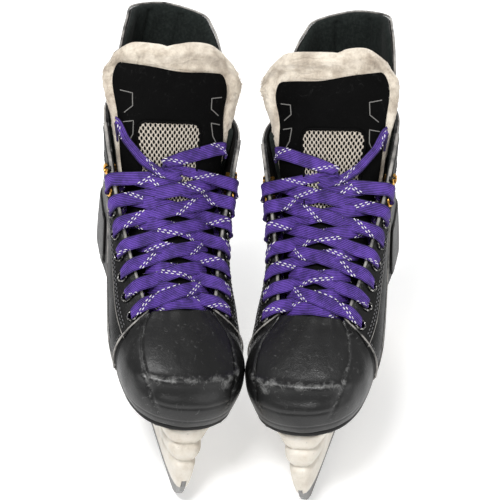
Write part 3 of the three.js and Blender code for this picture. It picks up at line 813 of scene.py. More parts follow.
felt_finish = mottled(
    "felt", {"Scale": 70.0, "Detail": 9.0, "Roughness": 0.72},
    (0.28, (0.34, 0.27, 0.21)), (0.45, (0.6, 0.52, 0.42)), (0.62, (0.86, 0.78, 0.66)),
    Roughness=0.95, Sheen_Weight=0.3, Sheen_Roughness=0.6, Specular_IOR_Level=0.1,
)
fuzz = felt_finish.cloud(Scale=900.0, Detail=8.0, Roughness=0.8, Distortion=1.0)
felt_finish.relief(fuzz, 0.8, 0.0009)
felt = felt_finish.material

FELT_FROM = 0.02
FELT_TO = 0.995


LOBES = {
    "right": ((0.018, 0.25, 0.4), (0.008, -0.62, 0.3), (-0.007, -0.2, 0.08)),
    "left": ((0.020, -0.62, 0.35), (0.006, 0.2, 0.4), (-0.007, -0.3, 0.08)),
}


def felt_top(side, a):
    """How far the felt's top edge stands up, which falls away more to the inside of the foot."""
    height = sum(rise * bump(a, centre, width) for rise, centre, width in LOBES[side])
    height -= 0.085 * max(0, (a - 0.45) / 0.55) ** 2
    return height - 0.035 * max(0, (-a - 0.7) / 0.3) ** 2


def felt_place(side):
    lean = -1 if side == "right" else 1

    def place(u, v, out):
        s = mix(FELT_FROM, FELT_TO, v)
        turn = 2 * math.pi * u
        a = math.copysign(abs(math.cos(turn)) ** 0.55, math.cos(turn))
        s += felt_top(side, a) * ease((s - 0.8) * 5)
        roll = ease((v - 0.925) / 0.05)
        edge = ease((abs(a) - 0.72) * 5) * ease((v - 0.55) * 6)
        thick = TONGUE_THICK + 5.5 * roll + 1.5 * edge
        close = math.sqrt(max(0, 1 - max(0, (v - 0.955) / 0.045) ** 2)) * min(1, v * 40)
        height = math.copysign(abs(math.sin(turn)) ** 0.75, math.sin(turn)) * close
        corner = 1 - 0.08 * ease((v - 0.92) * 12)
        forward = 1.2 * roll + 1.6 * edge * (math.sin(turn) > 0)
        point = tongue(a * corner, s, -TONGUE_THICK / 2 + forward + height * thick / 2, side)
        covered = ease((0.93 - v) * 25) * ease((0.86 - abs(a)) * 8) * (math.sin(turn) > 0)
        rough = ease((v - 0.55) * 5) * (1 - 0.85 * covered)
        lump = noise.noise(point * 0.07 + Vector((lean * 40, 0, 0))) * 0.8
        lump += noise.noise(point * 0.3) * 0.5 + noise.noise(point * 0.9) * 0.3
        across = Vector((math.cos(turn), -math.sin(turn) * 0.9, math.sin(turn) * 0.3))
        return point + across * (lump * rough * close + out)

    return place


def bend_at_fold(made, side, before=0.70, after=0.80):
    start, end = (stand(side, tongue(0, s, -4)) for s in (before, after))
    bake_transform(made)


def fibre(side, chance):
    """One loose fibre, which wanders over the felt's front near its top."""
    u, v = chance.uniform(0.02, 0.46), chance.uniform(0.84, 0.99)
    heading = chance.uniform(0, 2 * math.pi)
    lift = chance.uniform(0.6, 1.8)
    points = []
    for step in range(8):
        height = 0.1 + lift * math.sin(math.pi * step / 7)
        points.append(stand(side, felt_place(side)(u, min(v, 0.998), height)))
        heading += chance.uniform(-0.6, 0.6)
        u += 0.005 * math.cos(heading)
        v += 0.006 * math.sin(heading)
    return points


FIBRES = 150
for side in SIDES:
    chance = random.Random(side)
    loose = tube(side + "_loose_fibres", [fibre(side, chance) for _ in range(FIBRES)], 0.13, felt)
    bend_at_fold(loose, side)
    mesh = rounded(sheet(side, felt_place(side), 150, 230), 1e-5)
    made = piece(side + "_tongue_felt", mesh, felt)
    bend_at_fold(made, side)
    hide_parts(side + "_tongue_lower", side + "_tongue_upper")

# ---------------------------------------------------------------- tongue face
# A black vinyl panel with rounded corners is sewn on the felt's front. It frames the mesh insert,
# and thin grey angled bars are printed on each side of it.
FACE_FROM = 0.1
FACE_TO = 0.935
FACE_HALF = 0.83
FACE_CENTRE = -0.07  # the face sits a little to the outside of the foot
FACE_SLOPE = {"right": 0.016, "left": 0.024}  # its top edge is lower on the inside
face_vinyl = black_skin("face_vinyl", 1900.0, 0.35, 0.5, 0.03, 0.0013, 0.045)


def rounding_off(t):
    return 1 - math.sqrt(max(0, 1 - max(0, t) ** 2))


def face_place(side):
    def place(u, v, out):
        s = mix(FACE_FROM, FACE_TO, v)
        upper = ease((s - 0.62) / 0.2)
        outer = 1 - 0.09 * rounding_off((v - 0.92) / 0.08)
        inner = 1 - 0.2 * rounding_off((v - 0.86) / 0.14)
        a = mix(-outer, inner, u) * FACE_HALF * mix(1.16, 1.0, upper) + FACE_CENTRE * upper
        top = (0.008 * bump(a, 0.0, 0.3) + FACE_SLOPE[side] * (a + 0.9)) * ease((v - 0.8) * 5)
        wave = 0.5 * noise.noise(Vector((a * 4, s * 14, 2.0 if side == "left" else 0)))
        pillow = 0.9 * math.sqrt(max(0, 1 - (2 * u - 1) ** 6)) * (0.6 + 0.4 * ease((1 - v) * 9))
        return tongue(a, s - top, out + 1.6 + pillow + wave * 0.6, side)

    return place


for side in SIDES:
    mesh = sheet(side, face_place(side), 80, 160, lambda u, v: 0.2 * bump(v, 1, 0.06))
    made = piece(side + "_tongue_face_vinyl", mesh, face_vinyl)
    finished(thicken(made, 1.6, 0.5))
    bend_at_fold(made, side)
    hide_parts(side + "_tongue_face")

# ---------------------------------------------------------------- tongue insert
# A rounded window of pale knitted spacer mesh lets the tongue breathe. Its long holes are dented in
# and painted dark as shade, and a raised black rib frames it.
INSERT_FROM = 0.5
INSERT_TO = 0.755
INSERT_HALF = 0.55
INSERT_CENTRE = -0.12
HOLE_PITCH = 3.6
HOLE_ROW = 4.4


def knitted(name, dark, light):
    """Open knitted mesh, with painted shade in the holes that the wear_and_shade attribute marks."""
    finish = Finish(name, Roughness=0.7, Sheen_Weight=0.25)
    yarn = finish.tones(finish.cloud(Scale=1400.0, Detail=4.0), (0.35, dark), (0.65, light))
    hole_shade = finish.add("Attribute", attribute_name="wear_and_shade").outputs["Fac"]
    # The holes get a near-black painted shade over the yarn's colour.
    finish.colour(finish.mixed(finish.tones(hole_shade, (0.35, 0.0), (0.62, 1.0)), yarn, (0.006, 0.005, 0.005, 1)))
    return finish.material


spacer_mesh = knitted("spacer_mesh", (0.3, 0.26, 0.21), (0.62, 0.56, 0.48))


def insert_spot(u, v):
    """Across and along the window, which narrows to round corners at its top."""
    corner = max(0, (v - 0.8) / 0.2)
    half = INSERT_HALF * (1 - 0.3 * (1 - math.sqrt(max(0, 1 - corner * corner)))) * mix(0.92, 1.0, v)
    return INSERT_CENTRE + mix(-half, half, u), mix(INSERT_FROM, INSERT_TO, v)


def hole_depth(u, v):
    a, s = insert_spot(u, v)
    across = a * 46 / HOLE_PITCH
    along = s * 216 / HOLE_ROW
    deepest = 0.0
    for shift in (0, 0.5):
        x = (across + shift) % 1 - 0.5
        y = (along + shift) % 1 - 0.5
        deepest = max(deepest, 1 - math.hypot(x / 0.3, y / 0.36) ** 2)
    return clamp(deepest * 1.6)


def insert_place(side):
    def place(u, v, out):
        a, s = insert_spot(u, v)
        return tongue(a, s, out + 3.2 - 0.9 * hole_depth(u, v), side)

    return place


def insert_frame(side):
    def place(t):
        if t < 0.35:
            u, v = 0, t / 0.35
        elif t < 0.65:
            u, v = (t - 0.35) / 0.3, 1
        else:
            u, v = 1, (1 - t) / 0.35
        a, s = insert_spot(u, v)
        return tongue(a, s, 3.0, side)

    return place


for side in SIDES:
    # hole_depth both dents the holes and, as the wear_and_shade attribute, paints shade in them.
    mesh = sheet(side, insert_place(side), 170, 170, hole_depth)
    made = piece(side + "_tongue_insert", mesh, spacer_mesh)
    finished(thicken(made, 0.5))
    bend_at_fold(made, side)
    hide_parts(side + "_tongue_mesh")
    rib = tube(side + "_insert_rib", line(side, insert_frame(side), 160), 1.2, face_vinyl)
    bend_at_fold(rib, side)

# ---------------------------------------------------------------- marks on the tongue
# Thin grey angled bars are printed on the face, two on each side of the insert. Each runs through a
# few corners, given across and along the tongue.
mark_ink = Finish("mark_ink", Base_Color=(0.17, 0.165, 0.155, 1), Roughness=0.55).material
MARKS = [
    [(0.74, 0.845), (0.58, 0.84), (0.60, 0.80), (0.75, 0.775)],
    [(0.76, 0.75), (0.61, 0.755), (0.63, 0.715), (0.70, 0.69)],
]
for side in SIDES:
    for number, mark in enumerate(MARKS):
        for which, sign in (("outer", -1), ("inner", 1)):
            spots = []
            for (a0, s0), (a1, s1) in zip(mark, mark[1:]):
                spots += [(mix(a0, a1, t / 8), mix(s0, s1, t / 8)) for t in range(8)]
            on_face = face_place(side)
            length = FACE_TO - FACE_FROM
            points = [
                stand(side, on_face((sign * a / FACE_HALF + 1) / 2, (s - FACE_FROM) / length, 0.05))
                for a, s in spots
            ]
            made = tube(f"{side}_{which}_mark_{number + 1}", points, 0.4, mark_ink)
            bend_at_fold(made, side)

# ---------------------------------------------------------------- tendon guard
# A padded flap stands on the collar behind the ankle. It is glossy outside and lined in black cloth
# with two sewn channels inside, and its edge is bound in grey.
GUARD_INNER = 2.7
GUARD_OUTER = 2.95
GUARD_HEIGHT = 53
GUARD_WALL = 6
GUARD_OUTLINE = [(0, 1), (0.5, 0.985), (0.74, 0.84), (0.92, 0.62), (0.97, 0.48), (1, 0.38)]


def along_outline(share):
    for (a, low), (b, high) in zip(GUARD_OUTLINE, GUARD_OUTLINE[1:]):
        if share <= b:
            return mix(low, high, (share - a) / (b - a))
    return GUARD_OUTLINE[-1][1]


def guard_share(k):
    return k / GUARD_OUTER if k > 0 else -k / GUARD_INNER


def guard_point(side, k, w, out):
    base = last_point(k, 1)
    away = Vector((base.x, base.y - 78, 0)).normalized()
    share = guard_share(k)
    slant = 1 + 0.09 * math.copysign(share, k)
    soft = sum(along_outline(clamp(share + step)) for step in (-0.03, 0, 0.03)) / 3
    rise = w * GUARD_HEIGHT * slant * soft
    point = base + away * out + Vector((rise * 0.1, rise * 0.07, 0.8 + rise))
    point.x += SET[side]["guard"] * max(0, point.z - FOLD_PLACE.z)
    return point


def guard_place(side):
    def place(u, v, out):
        inside = u > 0.5
        k = mix(-GUARD_INNER, GUARD_OUTER, 2 * (1 - u) if inside else 2 * u)
        share = guard_share(k)
        round_side = max(0, 1 - share**14) ** 0.5
        round_top = max(0, 1 - v**16) ** 0.5
        half = GUARD_WALL / 2 * min(round_side, round_top)
        channel = 3.0 * bump(abs(k), 0.52, 0.075) * ease((0.97 - v) * 12) if inside else 0
        pillow = 1.5 * (1 - share**4) * (1 - (2 * v - 1) ** 4) if inside else 0
        crease = 0.5 * noise.noise(Vector((k * 1.5, v * 4, 3.0))) if inside else 0
        offset = -half - pillow + channel + crease * round_top if inside else half
        return guard_point(side, k, v, -GUARD_WALL / 2 + offset + out)

    return place


lining_finish = mottled(
    "lining_cloth", {"Scale": 420.0, "Detail": 8.0, "Roughness": 0.8},
    (0.45, (0.009, 0.012, 0.011)), (0.68, (0.024, 0.029, 0.027)), (0.8, (0.1, 0.1, 0.095)),
    Roughness=0.85, Sheen_Weight=0.02, Specular_IOR_Level=0.12,
)
lining_finish.relief(lining_finish.cloud(Scale=1100.0, Detail=6.0, Roughness=0.7), 0.5, 0.0004)
lining_cloth = lining_finish.material


def bend_at_guard(made, side):
    start, end = (stand(side, guard_point(side, 0, w, -3)) for w in (0.02, 0.2))
    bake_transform(made)


def guard_edge(side):
    def place(t):
        if t < 0.15:
            return guard_point(side, -GUARD_INNER * 0.985, t / 0.15, -0.6)
        if t > 0.85:
            return guard_point(side, GUARD_OUTER * 0.985, (1 - t) / 0.15, -0.6)
        return guard_point(side, mix(-GUARD_INNER, GUARD_OUTER, (t - 0.15) / 0.7) * 0.985, 0.995, -0.6)

    return place


for side in SIDES:
    mesh = sheet(side, guard_place(side), 160, 60)
    inner_faces = [mesh.uv_layers[0].data[face.loop_start].uv.x > 0.5 for face in mesh.polygons]
    mesh.polygons.foreach_set("material_index", inner_faces)
    made = piece(side + "_tendon_guard_pad", rounded(mesh, 1e-5), black_leather)
    made.data.materials.append(lining_cloth)
    bend_at_guard(made, side)
    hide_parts(side + "_tendon_guard")
    edge = tube(side + "_guard_piping", line(side, guard_edge(side), 160), 0.9, piping_vinyl)
    bend_at_guard(edge, side)

# ---------------------------------------------------------------- ankle lining
# The boot is padded inside with foam under black brushed cloth, from the heel up to the collar.
LINER = 4
LINER_REACH = 6.9


def liner_place(u, v, out):
    k = mix(-LINER_REACH, LINER_REACH, u)
    drop = ease((abs(k) - CORNER + 0.3) / 0.6)
    top = mix(6.92 / 7, 4.6 / 7, drop)
    pad = 0.8 * bump(v, 0.93, 0.06) + 0.5 * noise.noise(Vector((k * 2, v * 6, 1)))
    return shell(k, mix(1 / 7, top, v) * quarter_top(k), out - SHELL - 1.4 + pad)


for side in SIDES:
    mesh = sheet(side, liner_place, 150, 50)
    made = piece(side + "_ankle_lining", mesh, lining_cloth, side + "_boot")
    thicken(made, LINER, 1.4, 4)
    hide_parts(side + "_ankle_liner")

# ---------------------------------------------------------------- outsole and footbed
# A rigid composite plate closes the boot underneath, and follows the last's outline. A foam footbed
# lies on it inside.
OUTSOLE = 4
FOOTBED = 4
sole_plate = black_skin("sole_plate", 900.0, 0.15, 0.45, 0.12)
foam_finish = Finish("foam", Roughness=0.9)
pores = foam_finish.texture("TexVoronoi", Scale=500.0).outputs["Distance"]
foam_finish.colour(foam_finish.tones(pores, (0.1, (0.05, 0.05, 0.055)), (0.5, (0.13, 0.13, 0.14))))
foam = foam_finish.material


def plate(inward, low, high, steps=120):
    """A plate of the sole's outline, between two heights over the sole, in a skate's own frame."""
    bm = bmesh.new()
    bmesh.ops.create_circle(bm, cap_ends=True, segments=steps, radius=1)
    bm.verts.ensure_lookup_table()
    for i, vert in enumerate(bm.verts):
        k = i * 2 * TOE / steps
        here = last_point(k, 0)
        ahead = last_point(k + 0.05, 0) - last_point(k - 0.05, 0)
        vert.co = here + Vector((-ahead.y, ahead.x, 0)).normalized() * inward
    grown = bmesh.ops.extrude_face_region(bm, geom=bm.faces[:])["geom"]
    raised = {item for item in grown if isinstance(item, bmesh.types.BMVert)}
    for vert in bm.verts:
        vert.co.z = sole_height(vert.co.y) + (high if vert in raised else low)
    bmesh.ops.recalc_face_normals(bm, faces=bm.faces)
    return bm


def settled(bm, side, name):
    """A shape made in a skate's own frame becomes a mesh where that skate stands."""
    for vert in bm.verts:
        vert.co = stand(side, vert.co)
    bmesh.ops.recalc_face_normals(bm, faces=bm.faces)
    mesh = bpy.data.meshes.new(name)
    bm.to_mesh(mesh)
    bm.free()
    return mesh


for side in SIDES:
    for name, node_name, shape, material, slot_name, round_off in (
        ("outsole_plate", "outsole", (0.4, -OUTSOLE - 0.4, -0.4), sole_plate, "black_plastic", 1.2),
        ("footbed_foam", "footbed", (SHELL + 3, 0.8, 0.8 + FOOTBED), foam, "grey_foam", 1.5),
    ):
        made = piece(f"{side}_{name}", settled(plate(*shape), side, name), material, side + "_boot")
        rounding = made.modifiers.new("edge", "BEVEL")
        rounding.width = round_off * 0.001
        rounding.segments = 3
        rounding.limit_method = "ANGLE"
        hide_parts(f"{side}_{node_name}")

# ---------------------------------------------------------------- blade holder
# One hollow moulding of tough white nylon, now yellowed and dirty: two towers, the rail between
# them and a flange under the sole. Two creases cross the front tower.
RAIL_HEIGHT = 19
STEEL = 3
GROOVE = 7
GROOVE_LENGTH = 292  # past both towers, so that it is open at its ends
PLAY = 0.4
POSTS = ((-92, 42), (92, 46))
RIVETS = ((-20, -118), (24, -118), (-25, -52), (19, -52), (-20, 58), (20, 58), (-17, 118), (17, 118))
FRONT_TOWER = [
    (19, -138, -28, 7.4), (27, -139, -40, 9.6), (38, -137, -50, 12), (50, -134, -50, 15.5),
    (58, -132, -44, 20), (63, -131, -38, 26),
]
REAR_TOWER = [
    (19, 26, 133, 6.2), (27, 42, 134, 7.5), (40, 54, 133, 10.5), (54, 56, 132, 15),
    (64, 50, 131, 20), (69, 45, 131, 25),
]
nylon_finish = Finish(
    "nylon", Roughness=0.42, Subsurface_Weight=0.08, Subsurface_Radius=(0.003, 0.002, 0.0015)
)
dirt = nylon_finish.cloud(Scale=45.0, Detail=9.0, Roughness=0.75)
specks = nylon_finish.cloud(Scale=420.0, Detail=5.0, Roughness=0.7)
yellowed = nylon_finish.tones(
    dirt, (0.28, (0.5, 0.44, 0.36)), (0.45, (0.64, 0.59, 0.51)), (0.66, (0.74, 0.7, 0.63))
)
spots = nylon_finish.tones(specks, (0.27, 0.5), (0.36, 1.0))
nylon_finish.colour(nylon_finish.mixed(1, yellowed, spots, "MULTIPLY"))
nylon_finish.relief(dirt, 0.12, 0.0005)
nylon = nylon_finish.material


def tower(bm, rings, top, creases=()):
    """A stack of rounded rings, from the rail up to the flange."""
    part = bmesh.new()
    bmesh.ops.create_grid(part, x_segments=72, y_segments=48, size=0.5)
    for vert in part.verts:
        turn, v = 2 * math.pi * (vert.co.x + 0.5), vert.co.y + 0.5
        at = v * (len(rings) - 1)
        i = min(int(at), len(rings) - 2)
        near = [rings[clamp(i + j, 0, len(rings) - 1)] for j in (-1, 0, 1, 2)]
        height, front, back, half = (catmull(*(ring[c] for ring in near), at - i) for c in range(4))
        share = (height - rings[0][0]) / (rings[-1][0] - rings[0][0])
        x = math.copysign(abs(math.sin(turn)) ** 0.55, math.sin(turn))
        y = -math.copysign(abs(math.cos(turn)) ** 0.7, math.cos(turn))
        dent = sum(depth * bump(share, place, 0.035) for place, depth in creases) * ease((-y - 0.2) * 3)
        long = (back - front) / 2
        vert.co = Vector((
            x * half * (1 - dent * 0.04), (back + front) / 2 + y * long + dent, mix(RAIL_HEIGHT, top, share)
        ))
    bmesh.ops.remove_doubles(part, verts=part.verts, dist=1e-4)
    rims = [edge for edge in part.edges if edge.is_boundary]
    bmesh.ops.holes_fill(part, edges=rims)
    add(bm, part)


def add(bm, part):
    bmesh.ops.recalc_face_normals(part, faces=part.faces)
    mesh = bpy.data.meshes.new("part")
    part.to_mesh(mesh)
    part.free()
    bm.from_mesh(mesh)
    bpy.data.meshes.remove(mesh)


def flange(bm, low_y, high_y, under):
    part = plate(11, under - 3.6, under)
    for limit, facing in ((low_y, -1), (high_y, 1)):
        cut = bmesh.ops.bisect_plane(
            part, geom=part.verts[:] + part.edges[:] + part.faces[:], plane_co=(0, limit, 0),
            plane_no=(0, facing, 0), clear_outer=True,
        )["geom_cut"]
        bmesh.ops.edgeloop_fill(part, edges=[item for item in cut if isinstance(item, bmesh.types.BMEdge)])
    add(bm, part)


def block(bm, size, centre):
    bmesh.ops.create_cube(bm, size=1, matrix=Matrix.Translation(centre) @ Matrix.Diagonal((*size, 1)))


def pillar(bm, x, y, radius, low, high):
    bmesh.ops.create_cone(
        bm, cap_ends=True, segments=28, radius1=radius, radius2=radius, depth=high - low,
        matrix=Matrix.Translation((x, y, (low + high) / 2)),
    )


UNDER_SOLE = -OUTSOLE - 0.8
for side in SIDES:
    bm = bmesh.new()
    middle = UNDER_SOLE - 1.8
    tower(bm, FRONT_TOWER, sole_height(-131) + middle, ((0.46, 4.2), (0.74, 3.8), (0.6, -1.4)))
    tower(bm, REAR_TOWER, sole_height(45) + middle)
    flange(bm, -134, -30, UNDER_SOLE)
    flange(bm, 36, 136, UNDER_SOLE)
    block(bm, (11, 110, 13), (0, 0, RAIL_HEIGHT + 6.5))
    made = piece(side + "_blade_holder_nylon", settled(bm, side, "holder"), nylon, side + "_boot")
    merge = made.modifiers.new("merge", "REMESH")
    merge.mode = "VOXEL"
    merge.voxel_size = 0.0011
    soft = made.modifiers.new("soft", "SMOOTH")
    soft.factor = 0.5
    soft.iterations = 5
    finished(made)
    bm = bmesh.new()
    block(bm, (STEEL + 2 * PLAY, GROOVE_LENGTH, 2 * (GROOVE + PLAY)), (0, 0, RAIL_HEIGHT))
    for y, ledge in POSTS:
        pillar(bm, 0, y, 7.6, ledge, 120)
        pillar(bm, 0, y, 3.8, 21, ledge + 1)
    for x, y in RIVETS:
        seat = sole_height(y) + UNDER_SOLE - 3.6
        pillar(bm, x, y, 5, seat - 14, seat + 0.6)
    cutter_mesh = settled(bm, side, "cutter")
    cutter = bpy.data.objects.new("cutter", cutter_mesh)
    bpy.context.collection.objects.link(cutter)
    cut = made.modifiers.new("cut", "BOOLEAN")
    cut.object = cutter
    cut.use_self = True
    finished(made)
    bpy.data.objects.remove(cutter)
    made.data.materials.clear()
    made.data.materials.append(nylon)
    made.data.polygons.foreach_set("use_smooth", [True] * len(made.data.polygons))
    made.data.set_sharp_from_angle(angle=math.radians(35))
    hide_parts(side + "_blade_holder")

# ---------------------------------------------------------------- steel
# The runner is a ground stainless blade held by two posts and nuts, and rivets fix the holder to the
# sole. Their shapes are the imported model's own, and only their finish is made here.
steel_finish = mottled(
    "runner_steel", {"Scale": 90.0, "Detail": 7.0, "Roughness": 0.7},
    (0.35, (0.15, 0.148, 0.145)), (0.65, (0.27, 0.267, 0.262)), Metallic=1,
)
stretch = steel_finish.texture("Mapping", Scale=(900, 60, 1600))
brushing = steel_finish.add("TexNoise", Scale=1.0, Detail=6.0)
steel_finish.links.new(stretch.outputs["Vector"], brushing.inputs["Vector"])
steel_finish.polish(brushing.outputs["Fac"], 0.25, 0.5)
runner_steel = steel_finish.material
for name, made in frame["nodes"].items():
    if name.endswith(("steel_runner", "runner_nut", "rivet")):
        made.data.materials.clear()
        made.data.materials.append(runner_steel)

# ---------------------------------------------------------------- quarter trim
# A narrow window of silver mesh lies on the outside of each boot, between two raised trim lines that
# sweep from the ankle down to the toe cap.
ACCENT_FROM = (5.2, 0.60)
ACCENT_TO = (8.0, 0.50)


def accent_place(u, v, out):
    k = mix(ACCENT_FROM[0], ACCENT_TO[0], u)
    wide = 0.05 * math.sqrt(max(0.02, 1 - (2 * u - 1) ** 4))
    height = mix(ACCENT_FROM[1], ACCENT_TO[1], u) + mix(-wide, wide, v)
    return shell(k, height * quarter_top(k), out + 0.55 - 0.5 * accent_holes(u, v))


def accent_holes(u, v):
    across, along = v * 5, u * 26
    deepest = 0.0
    for shift in (0, 0.5):
        x, y = (across + shift) % 1 - 0.5, (along + shift) % 1 - 0.5
        deepest = max(deepest, 1 - math.hypot(x / 0.34, y / 0.34) ** 2)
    return clamp(deepest * 1.6)


def trim_line(low, high, from_k, to_k):
    def place(t):
        k = mix(from_k, to_k, t)
        return shell(k, mix(low, high, ease(t)) * quarter_top(k), 0.3)

    return place


silver_mesh = knitted("silver_mesh", (0.16, 0.16, 0.15), (0.42, 0.42, 0.4))
for side in SIDES:
    body = side + "_boot"
    # The silver mesh's holes are dented in, and accent_holes, as the wear_and_shade attribute, paints shade
    # in them.
    made = piece(side + "_accent_mesh", sheet(side, accent_place, 200, 40, accent_holes), silver_mesh, body)
    tube(side + "_upper_trim", line(side, trim_line(0.78, 0.30, 4.4, 8.7), 90), 0.6, piping_vinyl, body)
    tube(side + "_lower_trim", line(side, trim_line(0.50, 0.22, 5.0, 8.7), 90), 0.5, piping_vinyl, body)

# ---------------------------------------------------------------- laces
# One flat woven lace of purple polyester on each skate, with two rows of white tracer that wind
# round it. It bars the bottom eyelets, crosses over up seven pairs, and its ends twist and tuck in.
LACED = 7
LACE_WIDE = 9.9
LACE_THICK = 1.2
UNDER_FACING = -SHELL - 4.0
lace_finish = Finish(
    "purple_lace", Roughness=0.62, Sheen_Weight=0.08, Sheen_Roughness=0.45, Sheen_Tint=(0.6, 0.45, 1, 1)
)
maths = lace_finish.maths
TRACER_TURN = 42.0  # the length in which the tracer winds once round the lace
TRACER_FRONT = 0.5  # the share of a turn that shows on one face
DASH_PITCH = 3.7
split = lace_finish.add("SeparateXYZ")
lace_finish.links.new(lace_finish.add("UVMap").outputs["UV"], split.inputs["Vector"])
length, across = split.outputs["X"], split.outputs["Y"]
turned = maths("FRACT", maths("DIVIDE", length, TRACER_TURN))
centre = maths("MULTIPLY_ADD", turned, 1.16 / TRACER_FRONT, -0.08)
aside = maths("SUBTRACT", across, centre)
in_row = maths("LESS_THAN", maths("ABSOLUTE", maths("SUBTRACT", maths("ABSOLUTE", aside), 0.095)), 0.042)
second_row = maths("MULTIPLY", maths("GREATER_THAN", aside, 0.0), 0.5)
dashes = maths("ADD", maths("DIVIDE", length, DASH_PITCH), second_row)
in_dash = maths("LESS_THAN", maths("FRACT", dashes), 0.52)
tracer = maths("MULTIPLY", in_row, in_dash)
ribs = maths("SINE", maths("MULTIPLY", across, 2 * math.pi * 8))
# Each strand darkens towards both its edges: painted shade where strands meet and overlap.
edge_shade = maths("POWER", maths("ABSOLUTE", maths("MULTIPLY_ADD", across, 2.0, -1.0)), 7.0)
weave = maths("SINE", maths("MULTIPLY", length, 2 * math.pi / 0.8))
relief = maths("ADD", maths("MULTIPLY_ADD", weave, 0.25, ribs), maths("MULTIPLY", tracer, 1.5))
fade = lace_finish.cloud(Scale=120.0, Detail=5.0, Roughness=0.6)
# The ramp's tones carry the purple dye and random fading, with painted edge shade, and the ribs as painted
# light and shade across their relief.
shade = maths("MULTIPLY_ADD", edge_shade, -0.35, maths("MULTIPLY_ADD", ribs, 0.22, fade))
dye_and_shade = lace_finish.tones(
    shade, (0.22, (0.014, 0.005, 0.06)), (0.5, (0.06, 0.02, 0.235)), (0.74, (0.15, 0.065, 0.47))
)
lace_finish.colour(lace_finish.mixed(tracer, dye_and_shade, (0.85, 0.83, 0.88, 1)))
lace_finish.relief(relief, 0.8, 0.0003)
purple_lace = lace_finish.material

TONGUE_STEPS = [i / 250 for i in range(251)]
TONGUE_LINE = [tongue_middle(s)[0] for s in TONGUE_STEPS]
FLAT = (LACE_WIDE, LACE_THICK)
GATHERED = (3.4, 1.7)


def nearest_tongue(point):
    here = Vector((0, point.y, point.z))
    return min(zip(TONGUE_STEPS, TONGUE_LINE), key=lambda pair: (pair[1] - here).length_squared)[0]


def eyelet_end(sign, i, over):
    """From the outside of an eyelet to the facing's edge above it, or the same under the facing."""
    k, v = sign * EYELET_K[i], EYELET_V[i]
    s = nearest_tongue(last_point(k, 1))
    lift = FACING_PROUD + 2.4
    if over:
        return [
            (shell(k, v, -1), GATHERED, s), (shell(k, v, lift + 1.4), (6.5, 1.8), s),
            (shell(k, 1, lift + 1.0), FLAT, s),
        ]
    return [
        (shell(k, v, UNDER_FACING - 2.8), GATHERED, s),
        (shell(k, 1, UNDER_FACING - 2.0), (8, LACE_THICK), s),
    ]


def strand(start, finish, high):
    """A strand over the tongue between two eyelet ends. High strands lie on low ones."""
    middle = []
    for t in (0.2, 0.5, 0.8):
        point = start[-1][0].lerp(finish[-1][0], t)
        s = nearest_tongue(point)
        half = tongue_middle(s)[1]
        lift = 5.4 + (1.8 if t == 0.5 and high else 0)
        middle.append((tongue(clamp(point.x / half, -0.95, 0.95), s, lift), FLAT, s))
    return [*start, *middle, *reversed(finish)]


def tucked(sign, k):
    s = nearest_tongue(last_point(sign * k, 1))
    return [
        (shell(sign * k, inset(k, 9), UNDER_FACING - 2.4), (7, LACE_THICK), s),
        (shell(sign * k, 1, UNDER_FACING - 2.0), FLAT, s),
    ]


def lace_route():
    twisted = (6.5, 1.6)
    route = [
        *tucked(-1, 4.5), (tongue(0.74, 0.675, 4.8), FLAT, 0.675), (tongue(0.1, 0.645, 5.0), FLAT, 0.645),
        (tongue(-0.3, 0.625, 6.6), twisted, 0.625),
    ]
    sign = -1
    for i in range(LACED - 1, 0, -1):
        if i == LACED - 1:
            route += reversed(eyelet_end(sign, i, True))
        route += strand(eyelet_end(sign, i, False), eyelet_end(-sign, i - 1, True), i % 2 == 0)
        sign = -sign
    route += strand(eyelet_end(sign, 0, False), eyelet_end(-sign, 0, False), False)
    sign = -sign
    for i in range(LACED - 1):
        route += strand(eyelet_end(sign, i, True), eyelet_end(-sign, i + 1, False), i % 2 == 0)
        sign = -sign
    route += eyelet_end(sign, LACED - 1, True)
    return route + [
        (tongue(0.1, 0.585, 4.8), FLAT, 0.585), (tongue(-0.34, 0.6, 4.4), twisted, 0.6),
        (tongue(-0.62, 0.635, 7), twisted, 0.635), (tongue(-0.86, 0.70, 4.8), (5.6, 1.6), 0.7),
        (tongue(-0.95, 0.76, 4.2), (5.6, 1.6), 0.76),
        *reversed(tucked(1, 4.4)),
    ]


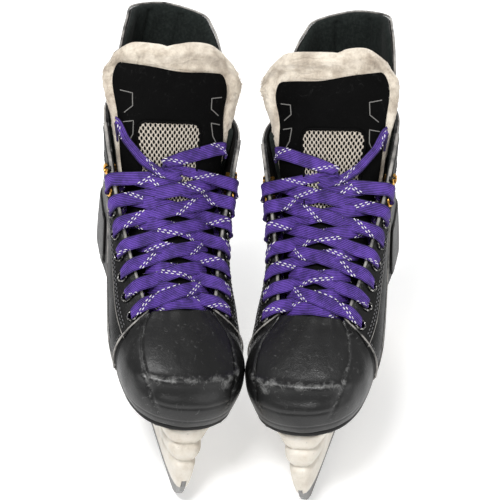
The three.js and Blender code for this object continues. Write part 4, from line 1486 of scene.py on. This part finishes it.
def eased_path(route, step=1.2, rounds=10):
    """Even samples along the route, rounded off: [place, width, thickness, s] each."""
    samples = []
    for (here, shape, s), (there, next_shape, next_s) in zip(route, route[1:]):
        count = max(1, round((there - here).length / step))
        for i in range(count):
            t = i / count
            width, thick = (mix(shape[c], next_shape[c], t) for c in (0, 1))
            samples.append([here.lerp(there, t), width, thick, mix(s, next_s, t)])
    samples.append([route[-1][0], *route[-1][1], route[-1][2]])
    for _ in range(rounds):
        last = samples
        samples = [
            [(a[c] + 2 * b[c] + d[c]) / 4 for c in range(4)] for a, b, d in zip(last, last[1:], last[2:])
        ]
        samples = [last[0], *samples, last[-1]]
    return samples


def lace_mesh(side, samples, columns=12):
    seed = 0.0 if side == "right" else 50.0
    rows = len(samples) - 1
    lengths = [0.0]
    for a, b in zip(samples, samples[1:]):
        lengths.append(lengths[-1] + (b[0] - a[0]).length)
    bm = bmesh.new()
    uv = bm.loops.layers.uv.new("UVMap")
    bmesh.ops.create_grid(bm, x_segments=rows, y_segments=columns, size=0.5)
    spots = {}
    frames = []
    for i, (place, width, thick, s) in enumerate(samples):
        travel = (samples[min(i + 1, rows)][0] - samples[max(i - 1, 0)][0]).normalized()
        wide = tongue_along(s)
        wide = (wide - travel * wide.dot(travel)).normalized()
        wide = Matrix.Rotation(0.16 * noise.noise(Vector((lengths[i] * 0.03, seed, 0))), 3, travel) @ wide
        frames.append((place, wide, travel.cross(wide), width))
    for vert in bm.verts:
        i = round((vert.co.x + 0.5) * rows)
        v = vert.co.y + 0.5
        place, wide, thick_way, width = frames[i]
        spots[vert] = (lengths[i], v)
        gather = clamp(1 - width / LACE_WIDE)
        lift = 1.1 * gather * math.sin(v * 4 * math.pi) - 0.5 * (2 * v - 1) ** 2 * gather
        lift += 0.25 * noise.noise(Vector((lengths[i] * 0.06, v * 1.5, seed)))
        vert.co = stand(side, place + wide * (v - 0.5) * width + thick_way * lift)
    for face in bm.faces:
        for loop in face.loops:
            loop[uv].uv = spots[loop.vert]
    mesh = bpy.data.meshes.new("lace")
    bm.to_mesh(mesh)
    bm.free()
    return mesh


lace_samples = eased_path(lace_route())
for side in SIDES:
    made = piece(side + "_lace_ribbon", lace_mesh(side, lace_samples), purple_lace, side + "_boot")
    body = made.modifiers.new("body", "SOLIDIFY")
    body.thickness = LACE_THICK * 0.001
    body.offset = 0
    rounding = made.modifiers.new("edge", "BEVEL")
    rounding.width = 0.0004
    rounding.segments = 2
    rounding.limit_method = "ANGLE"
    rounding.angle_limit = math.radians(60)
    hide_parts(side + "_lace")
